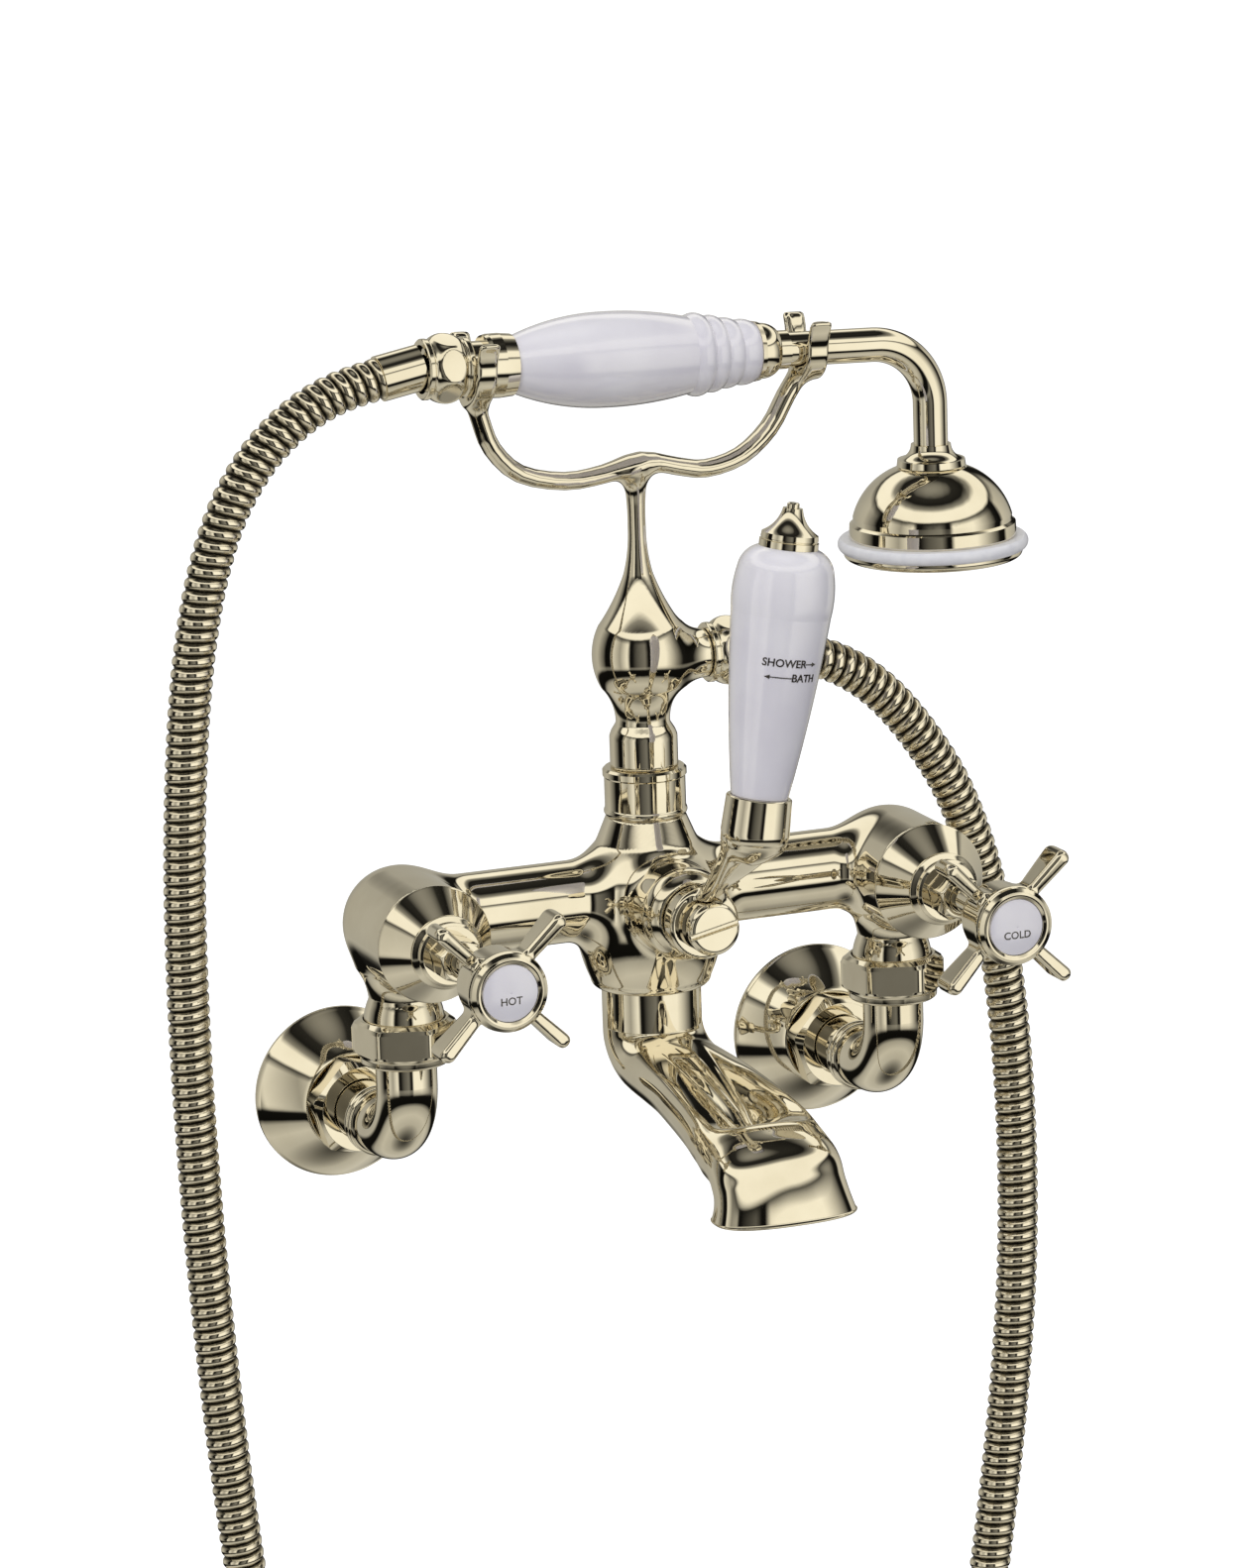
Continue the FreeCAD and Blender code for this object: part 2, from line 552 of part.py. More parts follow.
def riser():
    add("riser_collar_nut", turned([
        (body_top, 9.2), (body_top, 13.6), (body_top + 1.2, 14.3, body_top + 2.6, 13.9),
        (body_top + 13.2, 13.9), (body_top + 13.8, collar_nut_r),
        (riser_foot_low - 0.8, collar_nut_r), (riser_foot_low, collar_nut_r - 0.8),
        (riser_foot_low, 9.2)], body_axis, UP))
    stem = turned([
        (body_top - 8.0, 0), (body_top - 8.0, 8.9), (riser_foot_low, 8.9),
        (riser_foot_low, riser_foot_r), (riser_foot_top - 1.4, riser_foot_r),
        (riser_foot_top, riser_foot_r - 1.2), (137.0, 9.4),
        (142.0, 10.0, 149.0, 14.0), (159.5, riser_bulge_r, 170.0, 14.3),
        (179.5, 8.6, 188.0, 5.0), (196.0, riser_neck_r + 0.4, 204.0, riser_neck_r),
        (212.0, 3.4, 218.0, 5.2), (cradle_low + 2.0, 8.6), (cradle_low + 2.0, 0)], body_axis, UP)
    outlet_base = vec(0, axis_y, outlet_height)
    outlet = rod(8.4, 0, outlet_reach, outlet_base, RIGHT)

    path = [(-56.4, 251.4), (-54.9, 246.0), (-51.0, 235.6), (-41.5, 226.2), (-25.5, 222.1),
            (-11.0, 223.2), (2.5, 226.3), (15.0, 223.3), (25.7, 221.5), (38.5, 224.6),
            (49.0, 233.0), (55.6, 243.6), (60.6, 252.6)]
    curve = Part.BSplineCurve()
    curve.interpolate([vec(x, axis_y, z) for x, z in path])
    spine = Part.Wire([curve.toShape()])
    begin = curve.tangent(curve.FirstParameter)[0]
    bar = spine.makePipeShell([bar_section(curve.value(curve.FirstParameter), begin)], True, False)

    cradle = stem.fuse([outlet, bar])
    for at_u, seat_r, top in forks:
        cradle = cradle.fuse(fork_plate(at_u, seat_r, top))
    cradle = cradle.cut(rod(7.0, body_top - 9.0, outlet_height + 4.0, body_axis, UP))
    cradle = cradle.cut(rod(6.0, 0, outlet_reach + 1, outlet_base, RIGHT))
    for at_u, seat_r, top in forks:
        cradle = cradle.cut(fork_slot(at_u, seat_r, top))
    add("riser_cradle", cradle)


def across_handset(points, thick, at_u):
    """Plate square to the handset: points are (towards the wall, up) from its axis."""
    wire = Part.makePolygon([vec(a, b, -thick / 2) for a, b in points + points[:1]])
    plate = Part.Face(wire).extrude(vec(0, 0, thick))
    up = vec(math.sin(tilt), 0, math.cos(tilt))
    turn = FreeCAD.Rotation(vec(0, 1, 0), up, GRIP, "ZXY")
    plate.Placement = FreeCAD.Placement(grip_base + GRIP * at_u, turn)
    return plate


def fork_plate(at_u, seat_r, top):
    """Plate with two prongs that stand each side of the handset and flare outwards."""
    inner = seat_r + gap
    outer = inner + prong_wide
    right_side = [(bar_deep / 2 + 0.6, -13.0), (outer - 3.4, -10.0), (outer - 0.7, -5.5),
                  (outer, -0.5), (outer + prong_flare, top)]
    left_side = [(-a, b) for a, b in reversed(right_side)]
    return across_handset(right_side + left_side, fork_thick, at_u)


def fork_slot(at_u, seat_r, top):
    """Round seat for the handset, with a slot above it that widens upwards."""
    inner = seat_r + gap
    slot = across_handset([(inner, 0.0), (inner + prong_flare + 0.4, top + 0.5),
                           (-inner - prong_flare - 0.4, top + 0.5), (-inner, 0.0)],
                          2 * fork_thick, at_u)
    seat = Part.makeCylinder(inner, 4 * fork_thick, vec(0, 0, -2 * fork_thick))
    return slot.fuse(place(seat, grip_base + GRIP * at_u, GRIP))


# ---------------------------------------------------------------- handset
def handset():
    def at(name, outline):
        add(name, turned(outline, grip_base, GRIP))
    at("handset_tailpiece", [
        (-74.0, 5.0), (-74.0, 7.0), (-58.9, 7.0), (-58.9, tail_neck_r), (-53.4, tail_neck_r),
        (-53.4, 10.4), (-52.0, 10.8), (-51.4, 10.8), (-51.4, 5.0)])
    at("grip_collar", [
        (-51.4, 5.0), (-51.4, 10.8), (-48.0, 10.9), (-43.6, 10.5), (-43.6, 5.0)])
    at("handset_grip", [
        (-43.6, 4.3), (-43.6, 9.4), (-28.6, 14.2, -12.0, grip_r),
        (6.0, 15.4, 19.6, 13.2), (22.6, 14.2, 26.2, 12.7),
        (29.0, 13.1, 31.6, 11.8), (34.4, 12.0, 37.2, 10.9), (41.5, 11.0, grip_right, 9.9),
        (grip_right, 4.3)])
    at("handset_tie_tube", [(-51.4, 2.8), (-51.4, 4.0), (grip_right + 6.0, 4.0), (grip_right + 6.0, 2.8)])
    at("pipe_ferrule", [
        (grip_right, 4.3), (grip_right, 10.3), (grip_right + 1.6, 10.0), (grip_right + 1.8, 9.4),
        (grip_right + 5.0, 9.2, grip_right + 8.0, 7.4), (grip_right + 8.3, 6.6),
        (grip_right + 12.0, 6.6), (grip_right + 12.0, 4.3)])

    corner = vec(head_x, axis_y, grip_height - head_x * math.tan(tilt))
    start = grip_base + GRIP * (grip_right + 12.0)
    points = [start, corner, vec(head_x, axis_y, head_top)]
    outer, _ = tube_along(points, pipe_r, [pipe_bend])
    inner, _ = tube_along(points, pipe_bore_r, [pipe_bend])
    add("handset_pipe", outer.cut(inner))

    head = vec(head_x, axis_y, 0)
    add("rose_cap", turned([
        (213.8, pipe_bore_r), (213.8, 11.4), (214.6, 11.9), (216.8, 11.6),
        (218.4, 8.3, head_top, 6.9), (head_top, pipe_bore_r)], head, UP))
    add("rose_bell", turned([
        (189.8, 24.5), (189.8, 28.4), (190.6, 28.8), (194.6, 28.6), (195.4, rose_bell_r),
        (197.2, rose_bell_r + 0.1), (207.6, 21.6, 213.8, 12.2), (213.8, 4.4),
        (211.8, 4.4), (211.6, 10.0), (205.8, 19.9, 198.6, 24.6)], head, UP))
    add("rose_gasket", turned([
        (185.6, 24.5), (185.6, gasket_r - 0.8), (187.7, gasket_r + 0.3, 189.8, gasket_r - 0.8),
        (189.8, 24.5)], head, UP))
    plate = turned([
        (182.6, 0), (182.6, plate_r - 2.0), (183.2, plate_r - 0.4, 185.6, plate_r),
        (185.6, 24.4), (188.2, 24.4), (188.2, 0)], head, UP)
    jets = []
    for count, radius in ((1, 0.0), (6, 6.5), (12, 13.0), (18, 19.5)):
        for k in range(count):
            angle = 2 * math.pi * k / count
            centre = vec(head_x + radius * math.cos(angle), axis_y + radius * math.sin(angle), 180)
            jets.append(Part.makeCylinder(0.7, 10, centre, UP))
    add("rose_face_plate", plate.cut(Part.makeCompound(jets)))


# ---------------------------------------------------------------- hose
def ball_nut(name, base, along, start, end, bore):
    """Domed hexagon nut: a short barrel of a ball with six shallow round flats."""
    middle = (start + end) / 2
    ball = turned([(start, bore), (start, hose_nut_r - 2.6),
                   (start + 2.4, hose_nut_r - 0.5, middle, hose_nut_r),
                   (end - 2.4, hose_nut_r - 0.5, end, hose_nut_r - 2.6), (end, bore)], base, along)
    add(name, ball.common(hexagon(2 * hose_nut_r - 1.4, start, end, base, along, 15)))


hose_route = [
    (50.0, -73.8, 155.8), (62.7, -73.8, 153.1), (76.4, -73.8, 147.0), (89.8, -73.9, 136.5),
    (102.6, -74.1, 120.4), (115.2, -74.5, 99.6), (125.8, -75.0, 67.5), (132.6, -75.8, 26.0),
    (135.0, -76.8, -22.0), (134.2, -77.6, -70.0), (129.8, -78.0, -118.0), (123.4, -78.0, -166.0),
    (115.4, -77.8, -216.0), (106.4, -77.4, -264.0), (95.0, -77.0, -310.0), (78.6, -76.4, -352.0),
    (55.0, -75.8, -389.0), (22.0, -75.2, -416.0), (-18.0, -74.8, -427.0), (-58.0, -74.4, -419.0),
    (-90.0, -74.0, -394.0), (-112.6, -73.8, -358.0), (-127.6, -73.6, -314.0),
    (-138.6, -73.5, -264.0), (-146.8, -73.5, -212.0), (-153.4, -73.5, -160.0),
    (-158.8, -73.6, -108.0), (-162.6, -73.7, -56.0), (-165.2, -73.8, -4.0), (-166.4, -73.8, 52.0),
    (-165.6, -73.8, 106.0), (-161.6, -73.8, 158.0), (-155.6, -73.8, 193.6),
    (-146.9, -73.8, 220.2), (-136.1, -73.8, 237.6), (-124.8, -73.8, 248.9),
    (-113.0, -73.8, 256.4), (-100.8, -73.8, 261.0), (-90.0, -73.8, 262.9),
]


def hose():
    points = [vec(*p) for p in hose_route]
    bends = []
    for k in range(1, len(points) - 1):
        before = points[k] - points[k - 1]
        after = points[k + 1] - points[k]
        turn = before.getAngle(after)
        bends.append(0.45 * min(before.Length, after.Length) / math.tan(turn / 2))
    tube, length = tube_along(points, hose_r, bends)
    add("shower_hose", tube)
    expected = math.pi * hose_r ** 2 * length
    print("hose centreline %.0f mm, volume ratio %.5f" % (length, tube.Volume / expected))
    print("hose bend radii:", " ".join("%.0f" % b for b in bends))

    outlet = vec(0, axis_y, outlet_height)
    leave = (points[0] - points[1]).normalize()
    ball_nut("outlet_nut", outlet, RIGHT, outlet_reach, outlet_reach + hose_nut_length,
             ferrule_r + gap)
    add("outlet_washer", ring(7.6, 4.4, outlet_reach, outlet_reach + washer_t, outlet, RIGHT))
    at_outlet = vec(points[0].x, axis_y, points[0].z)
    add("hose_ferrule_riser", ring(ferrule_r, 4.4, 0, 11.0, at_outlet, leave))
    arrive = (points[-1] - points[-2]).normalize()
    ball_nut("handset_nut", grip_base, GRIP, -75.4, -75.4 + hose_nut_length, ferrule_r + gap)
    at_handset = vec(points[-1].x, axis_y, points[-1].z)
    add("hose_ferrule_handset", ring(ferrule_r, 4.4, 0, 14.6, at_handset, arrive))


for name, x_place in sides.items():
    wall_union(name, x_place)
    valve(name, x_place)
body()
diverter()
spout()
riser()
handset()
hose()

os.makedirs("parts", exist_ok=True)
for name, solids in pairs.items():
    parts[name] = Part.makeCompound(solids)
for name, shape in parts.items():
    if not shape.isValid():
        print("invalid:", name)
    if len(shape.Solids) != len(pairs.get(name, [None])):
        print("solids:", name, len(shape.Solids))
    shape.exportStep("parts/%s.step" % name)
print(len(parts), "nodes")
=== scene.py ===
import bpy
import bmesh
import json
import math
import numpy as np
from mathutils import Matrix, Vector


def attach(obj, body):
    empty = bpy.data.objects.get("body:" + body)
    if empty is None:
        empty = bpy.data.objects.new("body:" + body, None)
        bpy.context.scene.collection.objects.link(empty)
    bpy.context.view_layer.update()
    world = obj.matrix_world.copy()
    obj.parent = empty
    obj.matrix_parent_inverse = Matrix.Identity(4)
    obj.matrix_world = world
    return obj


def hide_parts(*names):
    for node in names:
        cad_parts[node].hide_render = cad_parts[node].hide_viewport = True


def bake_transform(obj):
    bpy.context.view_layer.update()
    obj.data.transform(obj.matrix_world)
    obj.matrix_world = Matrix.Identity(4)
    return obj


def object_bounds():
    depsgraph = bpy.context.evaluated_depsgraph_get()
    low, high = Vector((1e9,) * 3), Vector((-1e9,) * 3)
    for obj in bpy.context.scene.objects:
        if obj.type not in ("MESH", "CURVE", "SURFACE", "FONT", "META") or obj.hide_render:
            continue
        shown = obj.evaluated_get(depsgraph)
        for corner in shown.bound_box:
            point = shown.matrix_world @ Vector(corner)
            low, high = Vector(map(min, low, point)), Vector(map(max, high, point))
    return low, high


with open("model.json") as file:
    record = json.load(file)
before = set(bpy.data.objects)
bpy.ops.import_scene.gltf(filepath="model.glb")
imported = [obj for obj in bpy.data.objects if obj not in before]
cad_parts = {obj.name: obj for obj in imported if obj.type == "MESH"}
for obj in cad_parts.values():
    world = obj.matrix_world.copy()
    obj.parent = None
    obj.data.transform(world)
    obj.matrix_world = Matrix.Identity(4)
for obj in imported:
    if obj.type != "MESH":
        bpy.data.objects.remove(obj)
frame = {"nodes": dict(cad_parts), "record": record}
cad_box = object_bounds()

# Polished nickel bath filler with a porcelain-handled hand shower. Outlines are in
# millimetres, as a maker would write them; meshes are in metres.
MM = 0.001
UP = Vector((0, 0, 1))
OUT = Vector((0, -1, 0))
RIGHT = Vector((1, 0, 0))

# ---------------------------------------------------------------- driving sizes, mm
inlet_spacing = 180.0
axis_reach = 73.8            # wall to the plane of the legs, body and riser
valve_height = 77.0
boss_front = 116.0
hose_r = 7.2
hose_pitch = 4.3             # one turn of the wound strip
groove_deep = 1.35
lever_reach = 157.6
lever_lean = math.radians(8.8)
grip_tilt = math.radians(2.28)
grip_height = 261.66
spout_collar_r = 17.1
spout_collar_low = 31.0
mouth_reach = 201.5
mouth_low = -8.3
mouth_deep = 27.0
spout_wall = 3.0
arm_r = 14.0
nut_af = 31.6                # union nuts, across flats
gland_af = 14.0
ball_nut_af = 21.0
outlet_height = 158.0        # hose outlet on the riser
outlet_reach = 23.5

axis_y = -axis_reach
sides = {"hot": -inlet_spacing / 2, "cold": inlet_spacing / 2}
LEVER = Vector((math.sin(lever_lean), 0, math.cos(lever_lean)))
GRIP = Vector((math.cos(grip_tilt), 0, -math.sin(grip_tilt)))
GRIP_UP = Vector((math.sin(grip_tilt), 0, math.cos(grip_tilt)))
lever_base = Vector((0, -lever_reach, valve_height))
grip_base = Vector((0, axis_y, grip_height))
body_base = Vector((0, axis_y, 0))


# ---------------------------------------------------------------- colours and nodes
def linear(hex_colour):
    """sRGB hex to the linear colour a shader takes."""
    channels = [int(hex_colour[k:k + 2], 16) / 255 for k in (1, 3, 5)]
    return [c / 12.92 if c <= 0.04045 else ((c + 0.055) / 1.055) ** 2.4 for c in channels] + [1.0]


def add_node(tree, kind, settings=None, **inputs):
    """One node with its settings; an input is a value or another node's output."""
    node = tree.nodes.new(kind)
    for key, value in (settings or {}).items():
        setattr(node, key, value)
    for key, value in inputs.items():
        place = int(key[1:]) if key[1:].isdigit() else key.replace("_", " ")
        socket = node.inputs[place]
        if isinstance(value, bpy.types.NodeSocket):
            tree.links.new(value, socket)
        else:
            socket.default_value = value
    return node


def new_material(name, colour, metallic, roughness):
    """Material with its plain settings, its tree and its shader."""
    material = bpy.data.materials.new(name)
    material.use_nodes = True
    shader = material.node_tree.nodes["Principled BSDF"]
    shader.inputs["Base Color"].default_value = linear(colour)
    shader.inputs["Metallic"].default_value = metallic
    shader.inputs["Roughness"].default_value = roughness
    material.diffuse_color = linear(colour)
    return material, material.node_tree, shader


def ramp(tree, factor, stops):
    """Colour ramp through (place, hex) stops."""
    node = add_node(tree, "ShaderNodeValToRGB", _0=factor)
    band = node.color_ramp
    while len(band.elements) < len(stops):
        band.elements.new(0.5)
    for element, (place, colour) in zip(band.elements, stops):
        element.position = place
        element.color = linear(colour)
    return node


# A pattern's Scale is its marks per metre: 55 puts them 18 mm apart, 1800 about half one.
def polished_nickel():
    """Buffed nickel plate: mirror bright, faintly warm, with a mop's soft waviness."""
    material, tree, shader = new_material("polished_nickel", "#EEE7D6", 1.0, 0.07)
    place = add_node(tree, "ShaderNodeTexCoord").outputs["Object"]
    haze = add_node(tree, "ShaderNodeTexNoise", _0=place, Scale=55.0, Detail=4.0)
    rough = add_node(tree, "ShaderNodeMapRange", Value=haze.outputs["Fac"],
                     From_Min=0.3, From_Max=0.75, To_Min=0.015, To_Max=0.05)
    tree.links.new(rough.outputs["Result"], shader.inputs["Roughness"])
    tint = ramp(tree, haze.outputs["Fac"], [(0.3, "#EFE8D7"), (0.7, "#E4DCC9")])
    tree.links.new(tint.outputs["Color"], shader.inputs["Base Color"])
    wave = add_node(tree, "ShaderNodeTexNoise", _0=place, Scale=95.0, Detail=1.0)
    scratch = add_node(tree, "ShaderNodeTexNoise", _0=place, Scale=1800.0, Detail=2.0)
    mix = add_node(tree, "ShaderNodeMath", {"operation": "MULTIPLY_ADD"},
                   _0=scratch.outputs["Fac"], _1=0.03, _2=wave.outputs["Fac"])
    bump = add_node(tree, "ShaderNodeBump", Strength=0.05, Distance=0.0006,
                    Height=mix.outputs["Value"])
    tree.links.new(bump.outputs["Normal"], shader.inputs["Normal"])
    return material


def glazed_porcelain():
    """Slip-cast porcelain under a clear glaze: cool white body, wet gloss, slight pooling."""
    material, tree, shader = new_material("glazed_porcelain", "#E9E7EC", 0.0, 0.16)
    shader.inputs["IOR"].default_value = 1.5
    shader.inputs["Coat Weight"].default_value = 1.0
    shader.inputs["Coat Roughness"].default_value = 0.03
    shader.inputs["Subsurface Weight"].default_value = 0.12
    shader.inputs["Subsurface Radius"].default_value = (0.004, 0.004, 0.0045)
    place = add_node(tree, "ShaderNodeTexCoord").outputs["Object"]
    cloud = add_node(tree, "ShaderNodeTexNoise", _0=place, Scale=38.0, Detail=3.0)
    tint = ramp(tree, cloud.outputs["Fac"], [(0.35, "#EFEDF1"), (0.7, "#E4E1E8")])
    tree.links.new(tint.outputs["Color"], shader.inputs["Base Color"])
    pool = add_node(tree, "ShaderNodeTexNoise", _0=place, Scale=70.0, Detail=1.0)
    bump = add_node(tree, "ShaderNodeBump", Strength=0.06, Distance=0.0008,
                    Height=pool.outputs["Fac"])
    tree.links.new(bump.outputs["Normal"], shader.inputs["Coat Normal"])
    return material


def moulded_rubber(name, light, dark, roughness):
    """Compression-moulded rubber: satin, with a fine talc mottle."""
    material, tree, shader = new_material(name, light, 0.0, roughness)
    place = add_node(tree, "ShaderNodeTexCoord").outputs["Object"]
    talc = add_node(tree, "ShaderNodeTexNoise", _0=place, Scale=260.0, Detail=4.0)
    tint = ramp(tree, talc.outputs["Fac"], [(0.35, light), (0.7, dark)])
    tree.links.new(tint.outputs["Color"], shader.inputs["Base Color"])
    bump = add_node(tree, "ShaderNodeBump", Strength=0.05, Distance=0.00005,
                    Height=talc.outputs["Fac"])
    tree.links.new(bump.outputs["Normal"], shader.inputs["Normal"])
    return material


def machined_brass():
    """Turned brass behind the wall: yellow, with the tool's fine rings along its length."""
    material, tree, shader = new_material("machined_brass", "#C9A55A", 1.0, 0.26)
    place = add_node(tree, "ShaderNodeTexCoord").outputs["Object"]
    rings = add_node(tree, "ShaderNodeTexWave", {"bands_direction": "Y"}, _0=place,
                     Scale=330.0, Distortion=0.6)
    rough = add_node(tree, "ShaderNodeMapRange", Value=rings.outputs["Fac"],
                     To_Min=0.2, To_Max=0.34)
    tree.links.new(rough.outputs["Result"], shader.inputs["Roughness"])
    bump = add_node(tree, "ShaderNodeBump", Strength=0.2, Distance=0.0001,
                    Height=rings.outputs["Fac"])
    tree.links.new(bump.outputs["Normal"], shader.inputs["Normal"])
    return material


def fired_enamel():
    """Dark enamel fired into the letters: near black, with a glassy skin."""
    material, tree, shader = new_material("fired_enamel", "#2B2622", 0.0, 0.25)
    shader.inputs["Coat Weight"].default_value = 0.6
    place = add_node(tree, "ShaderNodeTexCoord").outputs["Object"]
    wear = add_node(tree, "ShaderNodeTexNoise", _0=place, Scale=900.0, Detail=2.0)
    tint = ramp(tree, wear.outputs["Fac"], [(0.4, "#26211D"), (0.7, "#3A332D")])
    tree.links.new(tint.outputs["Color"], shader.inputs["Base Color"])
    return material


nickel = polished_nickel()
porcelain = glazed_porcelain()
white_rubber = moulded_rubber("white_silicone", "#EDEDEF", "#E2E2E6", 0.3)
black_rubber = moulded_rubber("black_rubber", "#1E1D1C", "#2A2826", 0.6)
brass = machined_brass()
enamel = fired_enamel()
finishes = {"nickel": nickel, "hose_metal": nickel, "porcelain": porcelain, "alumina": porcelain,
            "white_rubber": white_rubber, "black_rubber": black_rubber, "bare_brass": brass}


def finish_cad_nodes():
    """Pieces that keep their machined shape take the same finishes."""
    slots = {s["node"]: s["material_slot"] for s in frame["record"]["subparts"]}
    for name, node in frame["nodes"].items():
        node.data.materials.clear()
        node.data.materials.append(finishes[slots[name]])


finish_cad_nodes()


# ---------------------------------------------------------------- mesh tools
def station(base, along, spin=0.0):
    """Matrix that takes +Z to a direction and the origin to a place, both in mm."""
    turn = UP.rotation_difference(along).to_matrix().to_4x4()
    return Matrix.Translation(base * MM) @ turn @ Matrix.Rotation(math.radians(spin), 4, "Z")


def arc_through(a, b, c):
    """Points on the arc from a to c through b, about one each millimetre."""
    (ax, ay), (bx, by), (cx, cy) = a, b, c
    d = 2 * (ax * (by - cy) + bx * (cy - ay) + cx * (ay - by))
    if abs(d) < 1e-6:
        return [b, c]
    sa, sb, sc = ax * ax + ay * ay, bx * bx + by * by, cx * cx + cy * cy
    ux = (sa * (by - cy) + sb * (cy - ay) + sc * (ay - by)) / d
    uy = (sa * (cx - bx) + sb * (ax - cx) + sc * (bx - ax)) / d
    radius = math.hypot(ax - ux, ay - uy)
    first = math.atan2(ay - uy, ax - ux)
    middle = (math.atan2(by - uy, bx - ux) - first) % math.tau
    sweep = (math.atan2(cy - uy, cx - ux) - first) % math.tau
    if middle > sweep:
        sweep -= math.tau
    steps = max(4, round(abs(sweep) * radius / 0.9))
    return [(ux + radius * math.cos(first + sweep * k / steps),
             uy + radius * math.sin(first + sweep * k / steps)) for k in range(1, steps + 1)]


def flattened(outline):
    """(station, radius) points; an entry of four numbers is an arc through its first pair."""
    points = [tuple(outline[0])]
    for entry in outline[1:]:
        if len(entry) == 4:
            points += arc_through(points[-1], entry[:2], entry[2:])
        else:
            points.append(tuple(entry))
    return points


def eased(points, radius, closed):
    """Each corner sharper than 14 degrees gets a small round."""
    result = []
    count = len(points)
    for k, point in enumerate(points):
        here = Vector(point)
        if not closed and k in (0, count - 1):
            result.append(here)
            continue
        into = here - Vector(points[k - 1])
        away = Vector(points[(k + 1) % count]) - here
        turn = into.angle(away, 0.0)
        if turn < math.radians(14):
            result.append(here)
            continue
        back = min(radius * math.tan(turn / 2), 0.42 * min(into.length, away.length))
        start = here - into.normalized() * back
        end = here + away.normalized() * back
        steps = max(2, round(math.degrees(turn) / 22))
        for j in range(steps + 1):
            t = j / steps
            result.append(start * (1 - t) ** 2 + here * 2 * t * (1 - t) + end * t * t)
    return result


def mesh_piece(name, mesh, body, slot, material, *nodes, weighted=True):
    """Object for a mesh built in the row frame, riding on its body in place of CAD nodes."""
    piece = bpy.data.objects.new(name, mesh)
    bpy.context.scene.collection.objects.link(piece)
    mesh.materials.append(material)
    for polygon in mesh.polygons:
        polygon.use_smooth = True
    if weighted:
        piece.modifiers.new("flat faces stay flat", "WEIGHTED_NORMAL").keep_sharp = True
    if nodes:
        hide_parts(*nodes)
    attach(piece, body)


def grid(mesh, rows, matrix=None, capped=False, close_rows=False):
    """Adds quads through rows of points in mm; a row of one point is a pole."""
    matrix = matrix or Matrix.Scale(1.0, 4)
    made = [[mesh.verts.new(matrix @ (Vector(p) * MM)) for p in row] for row in rows]
    pairs = list(zip(made, made[1:]))
    if close_rows:
        pairs.append((made[-1], made[0]))
    for low, high in pairs:
        width = max(len(low), len(high))
        for k in range(width):
            n = (k + 1) % width
            corners = [low[k % len(low)], low[n % len(low)],
                       high[n % len(high)], high[k % len(high)]]
            unique = [v for j, v in enumerate(corners) if v not in corners[:j]]
            if len(unique) > 2:
                mesh.faces.new(unique)
    if capped:
        mesh.faces.new(list(reversed(made[0])))
        mesh.faces.new(made[-1])


def soft_min(a, b, blend):
    """The lesser of two lengths, eased where they are within blend of each other."""
    h = max(0.0, min(1.0, 0.5 + 0.5 * (b - a) / blend))
    return b + (a - b) * h - blend * h * (1 - h)


def add_turned(mesh, outline, base, along, spin=0.0, ease=0.3, hexagon=0.0, blend=0.35):
    """Turned shape about a line; hexagon is an across-flats size that also bounds it."""
    points = flattened(outline)
    closed = points[0][1] > 0 or points[-1][1] > 0
    points = eased(points, ease, closed)
    widest = max(p[1] for p in points)
    around = 144 if hexagon else max(48, 8 * round(widest * math.tau / 8))
    rows = []
    for along_mm, radius in points:
        if radius < 1e-6:
            rows.append([(0, 0, along_mm)])
            continue
        row = []
        for k in range(around):
            angle = math.tau * k / around
            reach = radius
            if hexagon and radius > hexagon * 0.42:
                flat = hexagon / 2 / math.cos((angle + math.pi / 6) % (math.pi / 3) - math.pi / 6)
                reach = soft_min(radius, flat, blend)
            row.append((reach * math.cos(angle), reach * math.sin(angle), along_mm))
        rows.append(row)
    grid(mesh, rows, station(base, along, spin), close_rows=closed)


def made(build):
    """Mesh data from a function that fills a bmesh, with its faces turned outwards."""
    mesh = bmesh.new()
    build(mesh)
    bmesh.ops.recalc_face_normals(mesh, faces=mesh.faces)
    data = bpy.data.meshes.new("piece")
    mesh.to_mesh(data)
    mesh.free()
    return data


def turned(name, outline, base, along, body, node, slot="nickel", **more):
    """One turned piece that stands for its CAD node."""
    data = made(lambda mesh: add_turned(mesh, outline, base, along, **more))
    mesh_piece(name, data, body, slot, finishes[slot], node)


def smooth_path(points, per_span):
    """Points on the smooth curve through a few given ones."""
    ends = [points[0] * 2 - points[1]] + list(points) + [points[-1] * 2 - points[-2]]
    path = []
    for k in range(1, len(ends) - 2):
        a, b, c, d = ends[k - 1:k + 3]
        for j in range(per_span):
            t = j / per_span
            path.append((b * 2 + (c - a) * t + (a * 2 - b * 5 + c * 4 - d) * t * t
                         + (b * 3 - a - c * 3 + d) * t ** 3) * 0.5)
    return path + [Vector(points[-1])]


# ---------------------------------------------------------------- camera, light, floor
def set_camera():
    """Long lens, a little above and to the left of the filler."""
    right = Vector((0.9297044, -0.36697504, -0.03128965))
    up = Vector((0.11199993, 0.2007636, 0.97321631))
    back = Vector((-0.35086427, -0.90830793, 0.22775198))
    data = bpy.data.cameras.new("camera")
    data.sensor_width = 36.0
    data.lens = 163.23
    data.clip_end = 100.0
    camera = bpy.data.objects.new("camera", data)
    bpy.context.scene.collection.objects.link(camera)
    place = Vector((-0.85608, -2.27080, 0.66636))
    camera.matrix_world = Matrix((*zip(right, up, back, place), (0, 0, 0, 1)))
    bpy.context.scene.camera = camera


